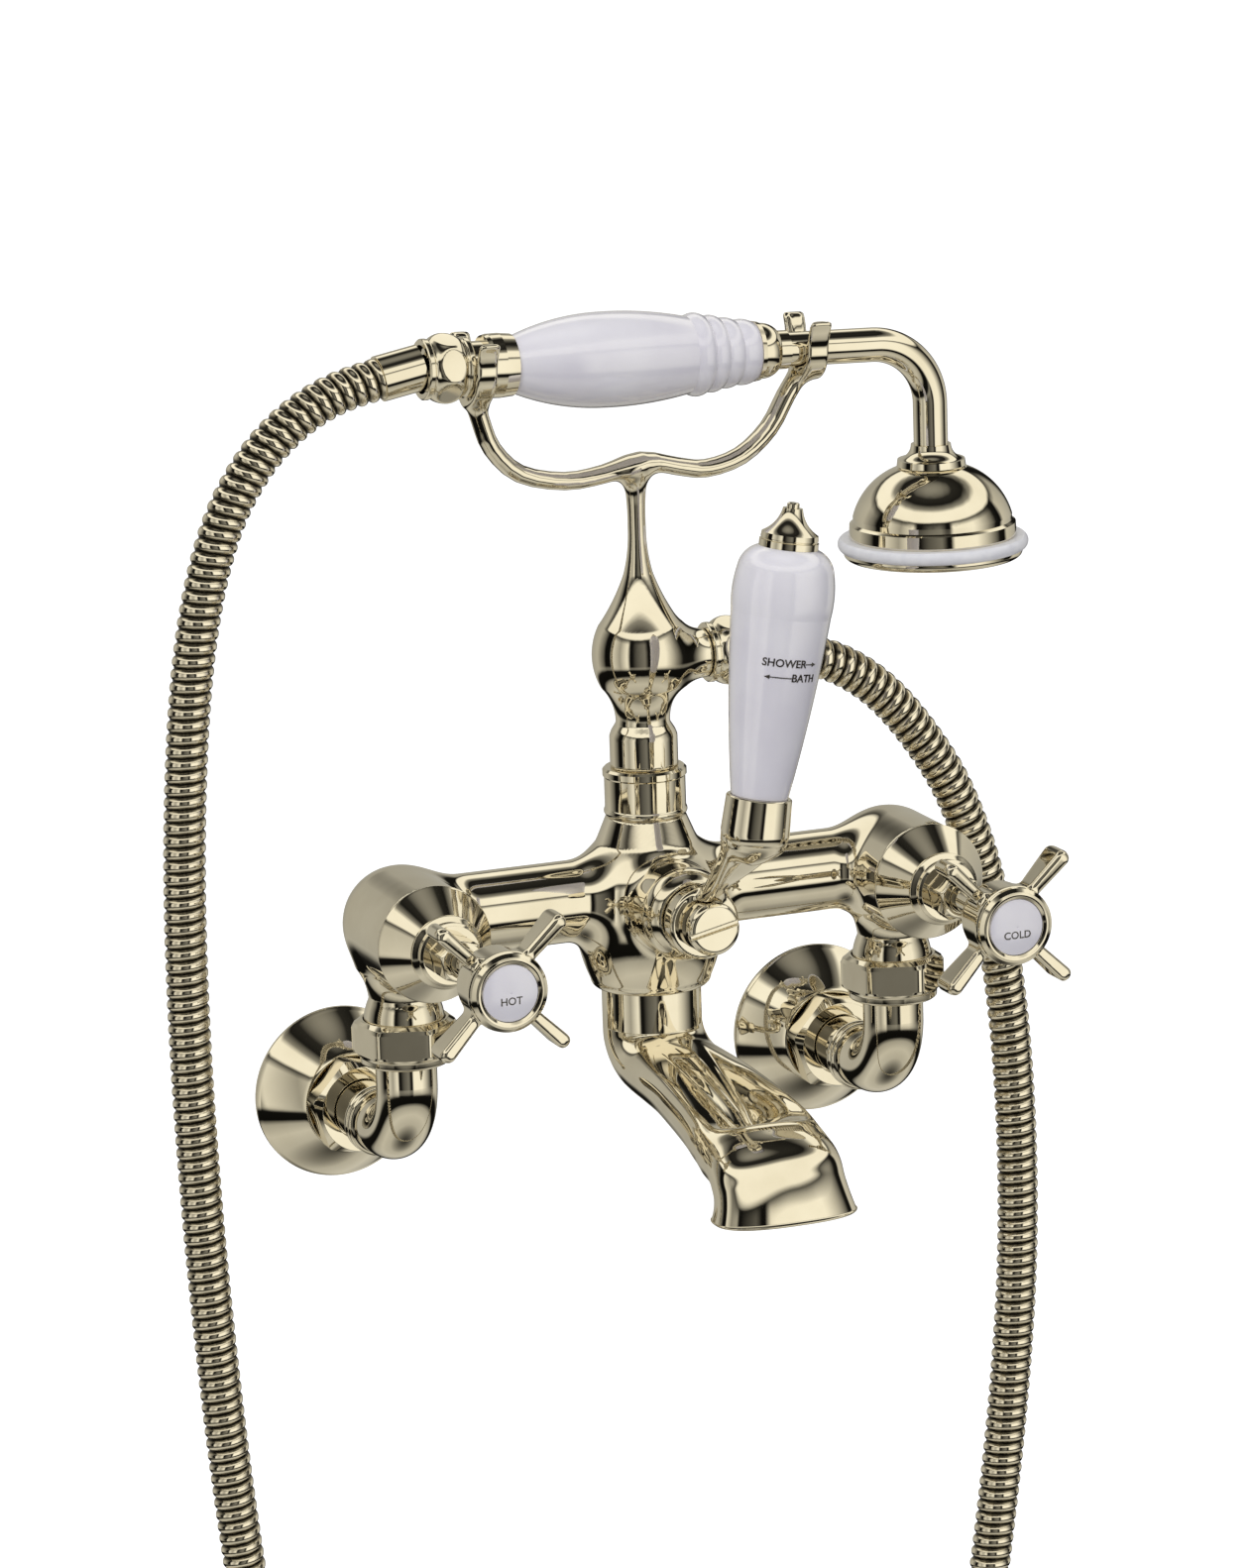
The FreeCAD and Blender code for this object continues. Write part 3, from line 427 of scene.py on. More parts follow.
def add_light(name, place, aim, size, watts):
    """Flat softbox that lights the piece but isn't mirrored in it."""
    data = bpy.data.lights.new(name, "AREA")
    data.shape = "RECTANGLE"
    data.size, data.size_y = size
    data.energy = watts
    lamp = bpy.data.objects.new(name, data)
    bpy.context.scene.collection.objects.link(lamp)
    lamp.location = place
    lamp.visible_glossy = False
    lamp.rotation_euler = (Vector(aim) - Vector(place)).to_track_quat("-Z", "Y").to_euler()


def studio_sky():
    """White tent with a dark opening in front and dark seams, which polished metal mirrors."""
    world = bpy.data.worlds.new("studio")
    bpy.context.scene.world = world
    world.use_nodes = True
    tree = world.node_tree
    tree.nodes.clear()
    place = add_node(tree, "ShaderNodeTexCoord").outputs["Generated"]
    axes = add_node(tree, "ShaderNodeSeparateXYZ", _0=place)
    facing = add_node(tree, "ShaderNodeMath", {"operation": "MULTIPLY"},
                      _0=axes.outputs["Y"], _1=-1.0)
    turn = add_node(tree, "ShaderNodeMath", {"operation": "ARCTAN2"},
                    _0=axes.outputs["X"], _1=facing.outputs["Value"])
    part = add_node(tree, "ShaderNodeMapRange", Value=turn.outputs["Value"],
                    From_Min=-math.pi, From_Max=math.pi)
    round_tent = ramp(tree, part.outputs["Result"], [
        (0.0, "#A2A2A2"), (0.10, "#B8B8B8"), (0.165, "#6A6A6A"), (0.185, "#0C0C0C"),
        (0.226, "#101010"), (0.240, "#E4E4E4"), (0.30, "#A2A2A2"), (0.352, "#F2F2F2"),
        (0.370, "#121212"), (0.388, "#161616"), (0.42, "#585858"), (0.468, "#787878"),
        (0.490, "#101010"), (0.505, "#101010"), (0.520, "#FFFFFF"),
        (0.61, "#FFFFFF"), (0.69, "#8E8E8E"), (0.725, "#1A1A1A"), (0.757, "#0A0A0A"),
        (0.775, "#CCCCCC"), (0.86, "#AAAAAA"), (0.885, "#141414"), (0.91, "#181818"),
        (0.925, "#A8A8A8"), (1.0, "#A2A2A2")])
    height = add_node(tree, "ShaderNodeMapRange", Value=axes.outputs["Z"],
                      From_Min=-1.0, From_Max=1.0)
    roof = ramp(tree, height.outputs["Result"], [
        (0.0, "#3A3A3A"), (0.06, "#B8B8B8"), (0.13, "#C8C8C8"), (0.20, "#A8A8A8"),
        (0.235, "#0E0E0E"),
        (0.31, "#121212"), (0.34, "#B4B4B4"), (0.69, "#161616"), (0.735, "#141414"),
        (0.76, "#FFFFFF"), (0.86, "#FFFFFF"), (0.89, "#8E8E8E"), (0.93, "#1C1C1C"),
        (0.97, "#2A2A2A"), (1.0, "#8C8C8C")])
    cover = ramp(tree, height.outputs["Result"], [
        (0.30, "#FFFFFF"), (0.36, "#000000"), (0.68, "#000000"), (0.74, "#FFFFFF")])
    tent = add_node(tree, "ShaderNodeMix", {"data_type": "RGBA"}, _0=cover.outputs["Color"],
                    _6=round_tent.outputs["Color"], _7=roof.outputs["Color"])
    warm = add_node(tree, "ShaderNodeMix", {"data_type": "RGBA", "blend_type": "MULTIPLY"},
                    _0=1.0, _6=tent.outputs[2], _7=linear("#FFFBEB"))
    mirrored = add_node(tree, "ShaderNodeBackground", Color=warm.outputs[2], Strength=1.1)
    ambient = add_node(tree, "ShaderNodeBackground", Color=linear("#FBFBFF"), Strength=0.58)
    plain = add_node(tree, "ShaderNodeBackground", Color=linear("#FFFFFF"), Strength=1.0)
    path = add_node(tree, "ShaderNodeLightPath")
    unseen = add_node(tree, "ShaderNodeMixShader", _0=path.outputs["Is Glossy Ray"],
                      _1=ambient.outputs[0], _2=mirrored.outputs[0])
    both = add_node(tree, "ShaderNodeMixShader", _0=path.outputs["Is Camera Ray"],
                    _1=unseen.outputs[0], _2=plain.outputs[0])
    add_node(tree, "ShaderNodeOutputWorld", Surface=both.outputs[0])


def pale_floor():
    """Plain matt white floor under the hose's loop, lit a little from within like a
    light table, so that it stays white behind the metal."""
    material, tree, shader = new_material("matt_white_floor", "#F7F7F7", 0.0, 0.9)
    grain = add_node(tree, "ShaderNodeTexNoise", Scale=3.0, Detail=2.0)
    tint = ramp(tree, grain.outputs["Fac"], [(0.3, "#F2F2F2"), (0.7, "#EEEEEE")])
    tree.links.new(tint.outputs["Color"], shader.inputs["Base Color"])
    shader.inputs["Emission Color"].default_value = linear("#FFFFFF")
    shader.inputs["Emission Strength"].default_value = 0.62
    mesh = bmesh.new()
    half = 30.0
    level = cad_box[0][2] - 0.02
    corners = [(-half, -half), (half, -half), (half, half), (-half, half)]
    mesh.faces.new([mesh.verts.new((x, y, level)) for x, y in corners])
    data = bpy.data.meshes.new("floor")
    mesh.to_mesh(data)
    mesh.free()
    data.materials.append(material)
    floor = bpy.data.objects.new("floor", data)
    bpy.context.scene.collection.objects.link(floor)
    floor.visible_glossy = False
    floor.visible_diffuse = False


set_camera()
studio_sky()
pale_floor()
bpy.context.scene.view_settings.view_transform = "Standard"
add_light("key_softbox", (-1.4, -1.6, 2.2), (0, -0.1, 0.1), (1.6, 1.2), 28)
add_light("fill_softbox", (2.0, -1.6, 1.0), (0, -0.1, 0.1), (0.9, 1.8), 3)
add_light("top_softbox", (0.1, -0.3, 2.4), (0, -0.1, 0.0), (1.4, 1.4), 5)


# ---------------------------------------------------------------- shower hose
hose_route = [
    (50.0, -73.8, 155.8), (62.7, -73.8, 153.1), (76.4, -73.8, 147.0), (89.8, -73.9, 136.5),
    (102.6, -74.1, 120.4), (115.2, -74.5, 99.6), (125.8, -75.0, 67.5), (132.6, -75.8, 26.0),
    (135.0, -76.8, -22.0), (134.2, -77.6, -70.0), (129.8, -78.0, -118.0), (123.4, -78.0, -166.0),
    (115.4, -77.8, -216.0), (106.4, -77.4, -264.0), (95.0, -77.0, -310.0), (78.6, -76.4, -352.0),
    (55.0, -75.8, -389.0), (22.0, -75.2, -416.0), (-18.0, -74.8, -427.0), (-58.0, -74.4, -419.0),
    (-90.0, -74.0, -394.0), (-112.6, -73.8, -358.0), (-127.6, -73.6, -314.0),
    (-138.6, -73.5, -264.0), (-146.8, -73.5, -212.0), (-153.4, -73.5, -160.0),
    (-158.8, -73.6, -108.0), (-162.6, -73.7, -56.0), (-165.2, -73.8, -4.0), (-166.4, -73.8, 52.0),
    (-165.6, -73.8, 106.0), (-161.6, -73.8, 158.0), (-155.6, -73.8, 193.6),
    (-146.9, -73.8, 220.2), (-136.1, -73.8, 237.6), (-124.8, -73.8, 248.9),
    (-113.0, -73.8, 256.4), (-100.8, -73.8, 261.0), (-90.0, -73.8, 262.9),
]


def route_line(points):
    """Even points, in mm, along the spline that the hose's route controls."""
    curve = bpy.data.curves.new("route", "CURVE")
    curve.dimensions = "3D"
    curve.resolution_u = 24
    spline = curve.splines.new("NURBS")
    spline.points.add(len(points) - 1)
    for control, point in zip(spline.points, points):
        control.co = (*(Vector(point) * MM), 1.0)
    spline.order_u = 3
    spline.use_endpoint_u = True
    holder = bpy.data.objects.new("route", curve)
    bpy.context.scene.collection.objects.link(holder)
    bpy.context.view_layer.update()
    mesh = bpy.data.meshes.new_from_object(holder)
    line = [vertex.co / MM for vertex in mesh.vertices]
    bpy.data.objects.remove(holder)
    bpy.data.meshes.remove(mesh)
    return line


def evened(line, spacing):
    """The same line with its points a fixed distance apart, and its length."""
    lengths = [0.0]
    for a, b in zip(line, line[1:]):
        lengths.append(lengths[-1] + (b - a).length)
    total = lengths[-1]
    count = round(total / spacing)
    result, k = [], 0
    for j in range(count + 1):
        goal = total * j / count
        while k < len(line) - 2 and lengths[k + 1] < goal:
            k += 1
        share = (goal - lengths[k]) / (lengths[k + 1] - lengths[k])
        result.append(line[k].lerp(line[k + 1], share))
    return result, total


def strip_profile(phase):
    """Radius of the wound strip over one turn: a rounded ridge, then a tight groove."""
    across = phase % 1.0
    ridge = 1.0 - abs(2 * across - 1.0) ** 2.6
    return hose_r - groove_deep * (1.0 - ridge)


def shower_hose():
    """Wound metal hose in one hanging loop from the riser round to the handset."""
    line, total = evened(route_line(hose_route), hose_pitch / 9)
    around = 28

    def build(mesh):
        side = Vector((0, 1, 0))
        rows = []
        for k, here in enumerate(line):
            ahead = (line[min(k + 1, len(line) - 1)] - line[max(k - 1, 0)]).normalized()
            across = side.cross(ahead).normalized()
            edge = ahead.cross(across).normalized()
            travel = total * k / (len(line) - 1) / hose_pitch
            row = []
            for j in range(around):
                angle = math.tau * j / around
                radius = strip_profile(travel + j / around)
                row.append(here + edge * (radius * math.cos(angle))
                           + across * (radius * math.sin(angle)))
            rows.append(row)
        grid(mesh, rows, capped=True)

    data = made(build)
    depth = [(hose_r - strip_profile(total * k / (len(line) - 1) / hose_pitch + j / around))
             / groove_deep for k in range(len(line)) for j in range(around)]
    data.attributes.new("groove", "FLOAT", "POINT").data.foreach_set("value", depth)
    hose = bpy.data.objects.new("shower_hose_wound", data)
    bpy.context.scene.collection.objects.link(hose)
    data.materials.append(wound_strip_nickel())
    for polygon in data.polygons:
        polygon.use_smooth = True
    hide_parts("shower_hose")
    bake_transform(hose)


def wound_strip_nickel():
    """Nickel-plated interlocked strip: bright on each turn, with painted shade that darkens the
    seams between them towards near black."""
    material, tree, shader = new_material("wound_strip_nickel", "#E8E0CE", 1.0, 0.12)
    place = add_node(tree, "ShaderNodeTexCoord").outputs["Object"]
    rub = add_node(tree, "ShaderNodeTexNoise", _0=place, Scale=240.0, Detail=3.0)
    seam = add_node(tree, "ShaderNodeAttribute", {"attribute_name": "groove"}).outputs["Fac"]
    # Groove depth plus a little random rub: it drives the painted seam shade and the roughness.
    rub_and_seam_shade = add_node(tree, "ShaderNodeMath", {"operation": "MULTIPLY_ADD"},
                    _0=rub.outputs["Fac"], _1=0.16, _2=seam)
    rough = add_node(tree, "ShaderNodeMapRange", Value=rub_and_seam_shade.outputs["Value"],
                     From_Min=0.05, From_Max=1.0, To_Min=0.07, To_Max=0.4)
    tree.links.new(rough.outputs["Result"], shader.inputs["Roughness"])
    # Painted shade: the base colour runs from pale on the ridges to near black deep in the seams.
    tint = ramp(tree, rub_and_seam_shade.outputs["Value"], [
        (0.08, "#F4ECDA"), (0.30, "#DFD6C2"), (0.56, "#7E7664"), (0.80, "#16130F")])
    tree.links.new(tint.outputs["Color"], shader.inputs["Base Color"])
    return material


shower_hose()


# ---------------------------------------------------------------- castings as blended fields
def blend_fields(a, b, k):
    """Union of two distance fields with a fillet of about k mm."""
    h = np.clip(0.5 + 0.5 * (b - a) / k, 0, 1)
    return b + (a - b) * h - k * h * (1 - h)


def carve(a, b, k):
    """First field with the second cut out of it, its new edge eased by k mm."""
    return -blend_fields(-a, b, k)


def rod_field(p, start, end, radius, ease=0.8):
    """Flat-ended round rod between two places."""
    start, end = np.array(start, np.float32), np.array(end, np.float32)
    along = (end - start) / np.linalg.norm(end - start)
    q = p - (start + end) / 2
    height = q @ along
    across = np.sqrt(np.maximum((q * q).sum(-1) - height * height, 0))
    x = across - radius + ease
    y = np.abs(height) - np.linalg.norm(end - start) / 2 + ease
    return np.minimum(np.maximum(x, y), 0) + np.hypot(np.maximum(x, 0), np.maximum(y, 0)) - ease


def ball_end_field(p, start, end, radius):
    """Round-ended bar between two places."""
    start, end = np.array(start, np.float32), np.array(end, np.float32)
    run = end - start
    t = np.clip(((p - start) @ run) / (run @ run), 0, 1)
    away = p - (start + t[..., None] * run)
    return np.sqrt((away * away).sum(-1)) - radius


def turned_field(p, outline, base, along):
    """Signed distance to a turned solid; the outline starts and ends on its axis."""
    base, along = np.array(base, np.float32), np.array(along, np.float32)
    q = p - base
    height = q @ along
    across = np.sqrt(np.maximum((q * q).sum(-1) - height * height, 0))
    points = flattened(outline)
    nearest = np.full(height.shape, 1e9, np.float32)
    inside = np.zeros(height.shape, bool)
    for (h0, r0), (h1, r1) in zip(points, points[1:]):
        eh, er = h1 - h0, r1 - r0
        length = eh * eh + er * er
        t = np.clip(((height - h0) * eh + (across - r0) * er) / length, 0, 1)
        nearest = np.minimum(nearest, (height - h0 - eh * t) ** 2 + (across - r0 - er * t) ** 2)
        if eh:
            crosses = ((h0 <= height) != (h1 <= height))
            inside ^= crosses & (across < r0 + er * (height - h0) / eh)
    return np.where(inside, -1.0, 1.0) * np.sqrt(nearest)


def cast(name, field, low, high, step, body, node):
    """Skin of a blended field, as a mesh whose points all lie on the surface."""
    counts = [int((h - l) / step) + 3 for l, h in zip(low, high)]
    axes = [np.float32(l - step + step * np.arange(n)) for l, n in zip(low, counts)]
    places = np.stack(np.meshgrid(*axes, indexing="ij"), -1)
    inside = field(places) < 0
    total = sum(inside[i:counts[0] - 1 + i, j:counts[1] - 1 + j,
                       k:counts[2] - 1 + k].astype(np.int8)
                for i in (0, 1) for j in (0, 1) for k in (0, 1))
    skin = (total > 0) & (total < 8)
    index = np.full(skin.shape, -1, np.int64)
    index[skin] = np.arange(skin.sum())
    points = (places[:-1, :-1, :-1][skin] + step / 2).astype(np.float32)
    quads = []
    for axis in range(3):
        ahead = np.moveaxis(inside, axis, 0)
        cells = np.moveaxis(index, axis, 0)
        change = ahead[:-1, 1:-1, 1:-1] != ahead[1:, 1:-1, 1:-1]
        leaving = ahead[:-1, 1:-1, 1:-1][change]
        corners = np.stack([cells[:, :-1, :-1][change], cells[:, 1:, :-1][change],
                            cells[:, 1:, 1:][change], cells[:, :-1, 1:][change]], 1)
        flip = leaving if axis != 1 else ~leaving
        corners[~flip] = corners[~flip][:, ::-1]
        quads.append(corners)
    quads = np.concatenate(quads)

    def settle(q):
        for _ in range(3):
            here = field(q)
            slope = np.stack([field(q + np.float32(0.02) * axis) - here
                              for axis in np.eye(3, dtype=np.float32)], -1) / 0.02
            size = np.maximum((slope * slope).sum(-1), 0.25)
            q = q - slope * (np.clip(here, -step, step) / size)[:, None]
        return q.astype(np.float32)

    points = settle(points)
    for _ in range(3):
        middle = points[quads].mean(1)
        spread = np.zeros_like(points)
        share = np.zeros(len(points), np.float32)
        for corner in range(4):
            np.add.at(spread, quads[:, corner], middle)
            np.add.at(share, quads[:, corner], 1)
        points = settle(spread / np.maximum(share, 1)[:, None])
    mesh = bpy.data.meshes.new(name)
    mesh.from_pydata((points * MM).tolist(), [], quads.tolist())
    mesh.update()
    mesh_piece(name, mesh, body, "nickel", nickel, node, weighted=False)


def body_casting():
    """Bulb, cross arms, valve barrels, throats and diverter boss in one casting."""
    bulb = [(44.6, 0), (44.6, 17.6), (45.2, 19.6, 47.6, 20.8), (60.0, 24.6, 76.0, 24.8),
            (86.5, 22.4, 95.0, 17.6), (104.6, 13.6), (104.6, 0)]
    middle = (0, axis_y, 0)
    boss = [(60.0, 0), (60.0, 15.6), (107.0, 15.6), (113.6, 14.6, boss_front, 12.3),
            (boss_front, 0)]
    barrel = [(54.3, 0), (60.0, 13.8, axis_reach, 19.5), (106.2, 19.5), (106.2, 0)]
    throat = [(40.2, 0), (40.2, 13.7), (44.8, 13.7), (46.6, 13.4, 51.2, 11.8),
              (55.7, 12.7, 62.5, 15.4), (77.0, 15.4), (77.0, 0)]

    def field(p):
        mirrored = p.copy()
        mirrored[..., 0] = -np.abs(p[..., 0])
        arm = rod_field(mirrored, (-88.0, axis_y, valve_height), (10.0, axis_y, valve_height),
                        arm_r)
        side = (-inlet_spacing / 2, 0, valve_height)
        leg = (-inlet_spacing / 2, axis_y, 0)
        valve = blend_fields(turned_field(mirrored, barrel, side, OUT),
                             turned_field(mirrored, throat, leg, UP), 5.0)
        shape = blend_fields(turned_field(p, bulb, middle, UP), arm, 7.5)
        shape = blend_fields(shape, valve, 7.0)
        return blend_fields(shape, turned_field(p, boss, (0, 0, valve_height), OUT), 4.0)

    cast("body_casting", field, (-111, -118, 39), (111, -45, 106), 0.8, "filler", "valve_body")


def cradle_casting():
    """Riser with its bulge and hose outlet, the cradle bar and two open forks."""
    stem = [(96.6, 0), (96.6, 8.9), (121.2, 8.9), (121.2, 11.65), (132.0, 11.65), (133.8, 11.0),
            (136.6, 9.3), (142.0, 10.0, 149.0, 14.0), (159.5, 16.7, 170.0, 14.3),
            (179.5, 8.6, 188.0, 5.0), (196.0, 3.5, 204.0, 3.1), (214.0, 3.3, 222.0, 4.2),
            (222.0, 0)]
    path = smooth_path([Vector((x, axis_y, z)) for x, z in (
        (-56.6, 252.5), (-54.9, 246.0), (-51.0, 235.6), (-41.5, 226.2), (-25.5, 222.1),
        (-11.0, 223.2), (2.5, 226.3), (15.0, 223.3), (25.7, 221.5), (38.5, 224.6),
        (49.0, 233.0), (55.6, 243.6), (60.6, 250.8))], 3)
    seats = ((-56.15, 8.6, 9.6, 2.5), (64.0, 5.9, 10.8, 2.7))
    grip, up = np.array(GRIP, np.float32), np.array(GRIP_UP, np.float32)

    def bar_field(p):
        middle = np.clip(1 - np.abs(p[..., 0]) / 22.0, 0, 1)
        flat = p.copy()
        flat[..., 1] = axis_y + (p[..., 1] - axis_y) * (0.70 - 0.22 * middle)
        nearest = None
        for a, b in zip(path, path[1:]):
            piece = ball_end_field(flat, a, b, 3.1)
            nearest = piece if nearest is None else np.minimum(nearest, piece)
        return nearest

    def fork_field(p, along, seat, top, half):
        q = p - np.array(grip_base, np.float32)
        height = q @ up
        across = np.abs(p[..., 1] - axis_y)
        flare = 3.4 * np.clip(height / top, 0, 1) ** 2
        bowl = np.where(height > 0, across - flare, np.hypot(across, height))
        wall = np.abs(bowl - (seat + 2.5)) - 2.2
        slide = np.abs(q @ grip - along) - half - 1.1 * np.clip((bowl - seat - 2.4) / 0.5, 0, 1)
        plate = -blend_fields(-wall, -slide, 1.3)
        return -blend_fields(-plate, -(height - top), 1.6)

    def field(p):
        shape = blend_fields(turned_field(p, stem, body_base, UP),
                             rod_field(p, (0, axis_y, outlet_height),
                                       (outlet_reach, axis_y, outlet_height), 8.4), 8.0)
        shape = blend_fields(shape, bar_field(p), 7.0)
        for along, seat, top, half in seats:
            shape = blend_fields(shape, fork_field(p, along, seat, top, half), 3.4)
        for along, seat, top, half in seats:
            q = p - np.array(grip_base, np.float32)
            height = q @ up
            away = np.hypot(height, p[..., 1] - axis_y)
            near = np.abs(q @ grip - along) < 9.0
            shape = np.where(near, np.maximum(shape, seat + 0.25 - away), shape)
        return shape

    cast("cradle_casting", field, (-64, -93, 96), (72, -54, 275), 0.8, "filler", "riser_cradle")


def cross_handle(side, x):
    """Hub and four blades that widen towards rounded tips."""
    hub = [(156.0, 0), (156.0, 7.6), (159.4, 11.0, 162.5, 12.4), (174.6, 12.4), (175.0, 12.0),
           (175.0, 0)]

    def blade_field(u, v, w):
        reach = np.clip((u - 10.0) / 21.0, 0, 1)
        thick = np.abs(v) - (2.1 + 0.5 * reach)
        wide = np.abs(w - 168.4) - (4.0 + 2.3 * reach ** 0.8)
        blade = -blend_fields(-thick, -wide, 1.8)
        return -blend_fields(-blade, -(u - 31.0), 3.4)

    def field(p):
        u = (p[..., 0] - x) * math.sqrt(0.5) + (p[..., 2] - valve_height) * math.sqrt(0.5)
        v = (p[..., 0] - x) * math.sqrt(0.5) - (p[..., 2] - valve_height) * math.sqrt(0.5)
        w = -p[..., 1]
        blades = np.minimum(blade_field(np.abs(u), v, w), blade_field(np.abs(v), u, w))
        return blend_fields(turned_field(p, hub, (x, 0, valve_height), OUT), blades, 2.6)

    cast("cross_handle_cast_" + side, field, (x - 25, -177, valve_height - 25),
         (x + 25, -154, valve_height + 25), 0.45, side + "_handle", "cross_handle_" + side)


def lever_casting():
    """Eye round the spindle and a folded strap that twists outwards to its cup."""
    eye = (boss_front + 2.5, boss_front + 9.5)
    side = Vector((LEVER.z, 0, -LEVER.x))
    foot = Vector((0, -(eye[0] + 3.6), valve_height)) + LEVER * 7.0
    root = lever_base + LEVER * 36.0
    along = (root - foot).normalized()
    length = (root - foot).length
    side_v, along_v, face_v, foot_v = (np.array(v, np.float32)
                                       for v in (side, along, along.cross(side), foot))

    def strap_field(p):
        q = p - foot_v
        travel = q @ along_v
        share = np.clip(travel / length, 0, 1)
        turn = 0.9 * (1 - share) ** 1.4
        u, v = q @ side_v, q @ face_v
        u, v = np.cos(turn) * u + np.sin(turn) * v, np.cos(turn) * v - np.sin(turn) * u
        half = 5.2 + 4.2 * share ** 1.3
        fold = (1.5 - 2.6 * np.abs(u) / half) * np.sin(math.pi * np.clip(share, 0, 1))
        thin = np.abs(v - fold) - (2.3 + 1.5 * share)
        ribbon = -blend_fields(-thin, -(np.abs(u) - half), 2.6)
        return np.maximum(ribbon, np.abs(travel - length / 2) - length / 2)

    def field(p):
        ring = rod_field(p, (0, -eye[0], valve_height), (0, -eye[1], valve_height), 12.4, 1.2)
        cup = turned_field(p, [(27.0, 0), (30.0, 6.4, 35.0, 10.2), (38.4, 10.8), (38.4, 0)],
                           lever_base, LEVER)
        shape = blend_fields(blend_fields(ring, strap_field(p), 3.6), cup, 4.5)
        cap = rod_field(p, (0, -eye[1], valve_height), (0, -(eye[1] + 14), valve_height), 9.4, 0.2)
        return np.maximum(shape, -cap)

    cast("lever_casting", field, (-17, -172, 58), (26, -116, 124), 0.5, "diverter_lever",
         "lever_arm")


def lever_cap_screw():
    """Broad flat-faced screw with a driver slot across it."""
    start, end = boss_front + 9.5, boss_front + 19.1
    tilt = math.radians(12)

    def field(p):
        disc = rod_field(p, (0, -start, valve_height), (0, -end, valve_height), 9.1, 2.0)
        across = (p[..., 2] - valve_height) * math.cos(tilt) - p[..., 0] * math.sin(tilt)
        slot = np.maximum(np.abs(across) - 0.75, end - 1.6 + p[..., 1])
        return carve(disc, slot, 0.4)

    cast("lever_cap_screw_slotted", field, (-10, -end - 1, valve_height - 10),
         (10, -start + 1, valve_height + 10), 0.3, "diverter_lever", "lever_cap_screw")


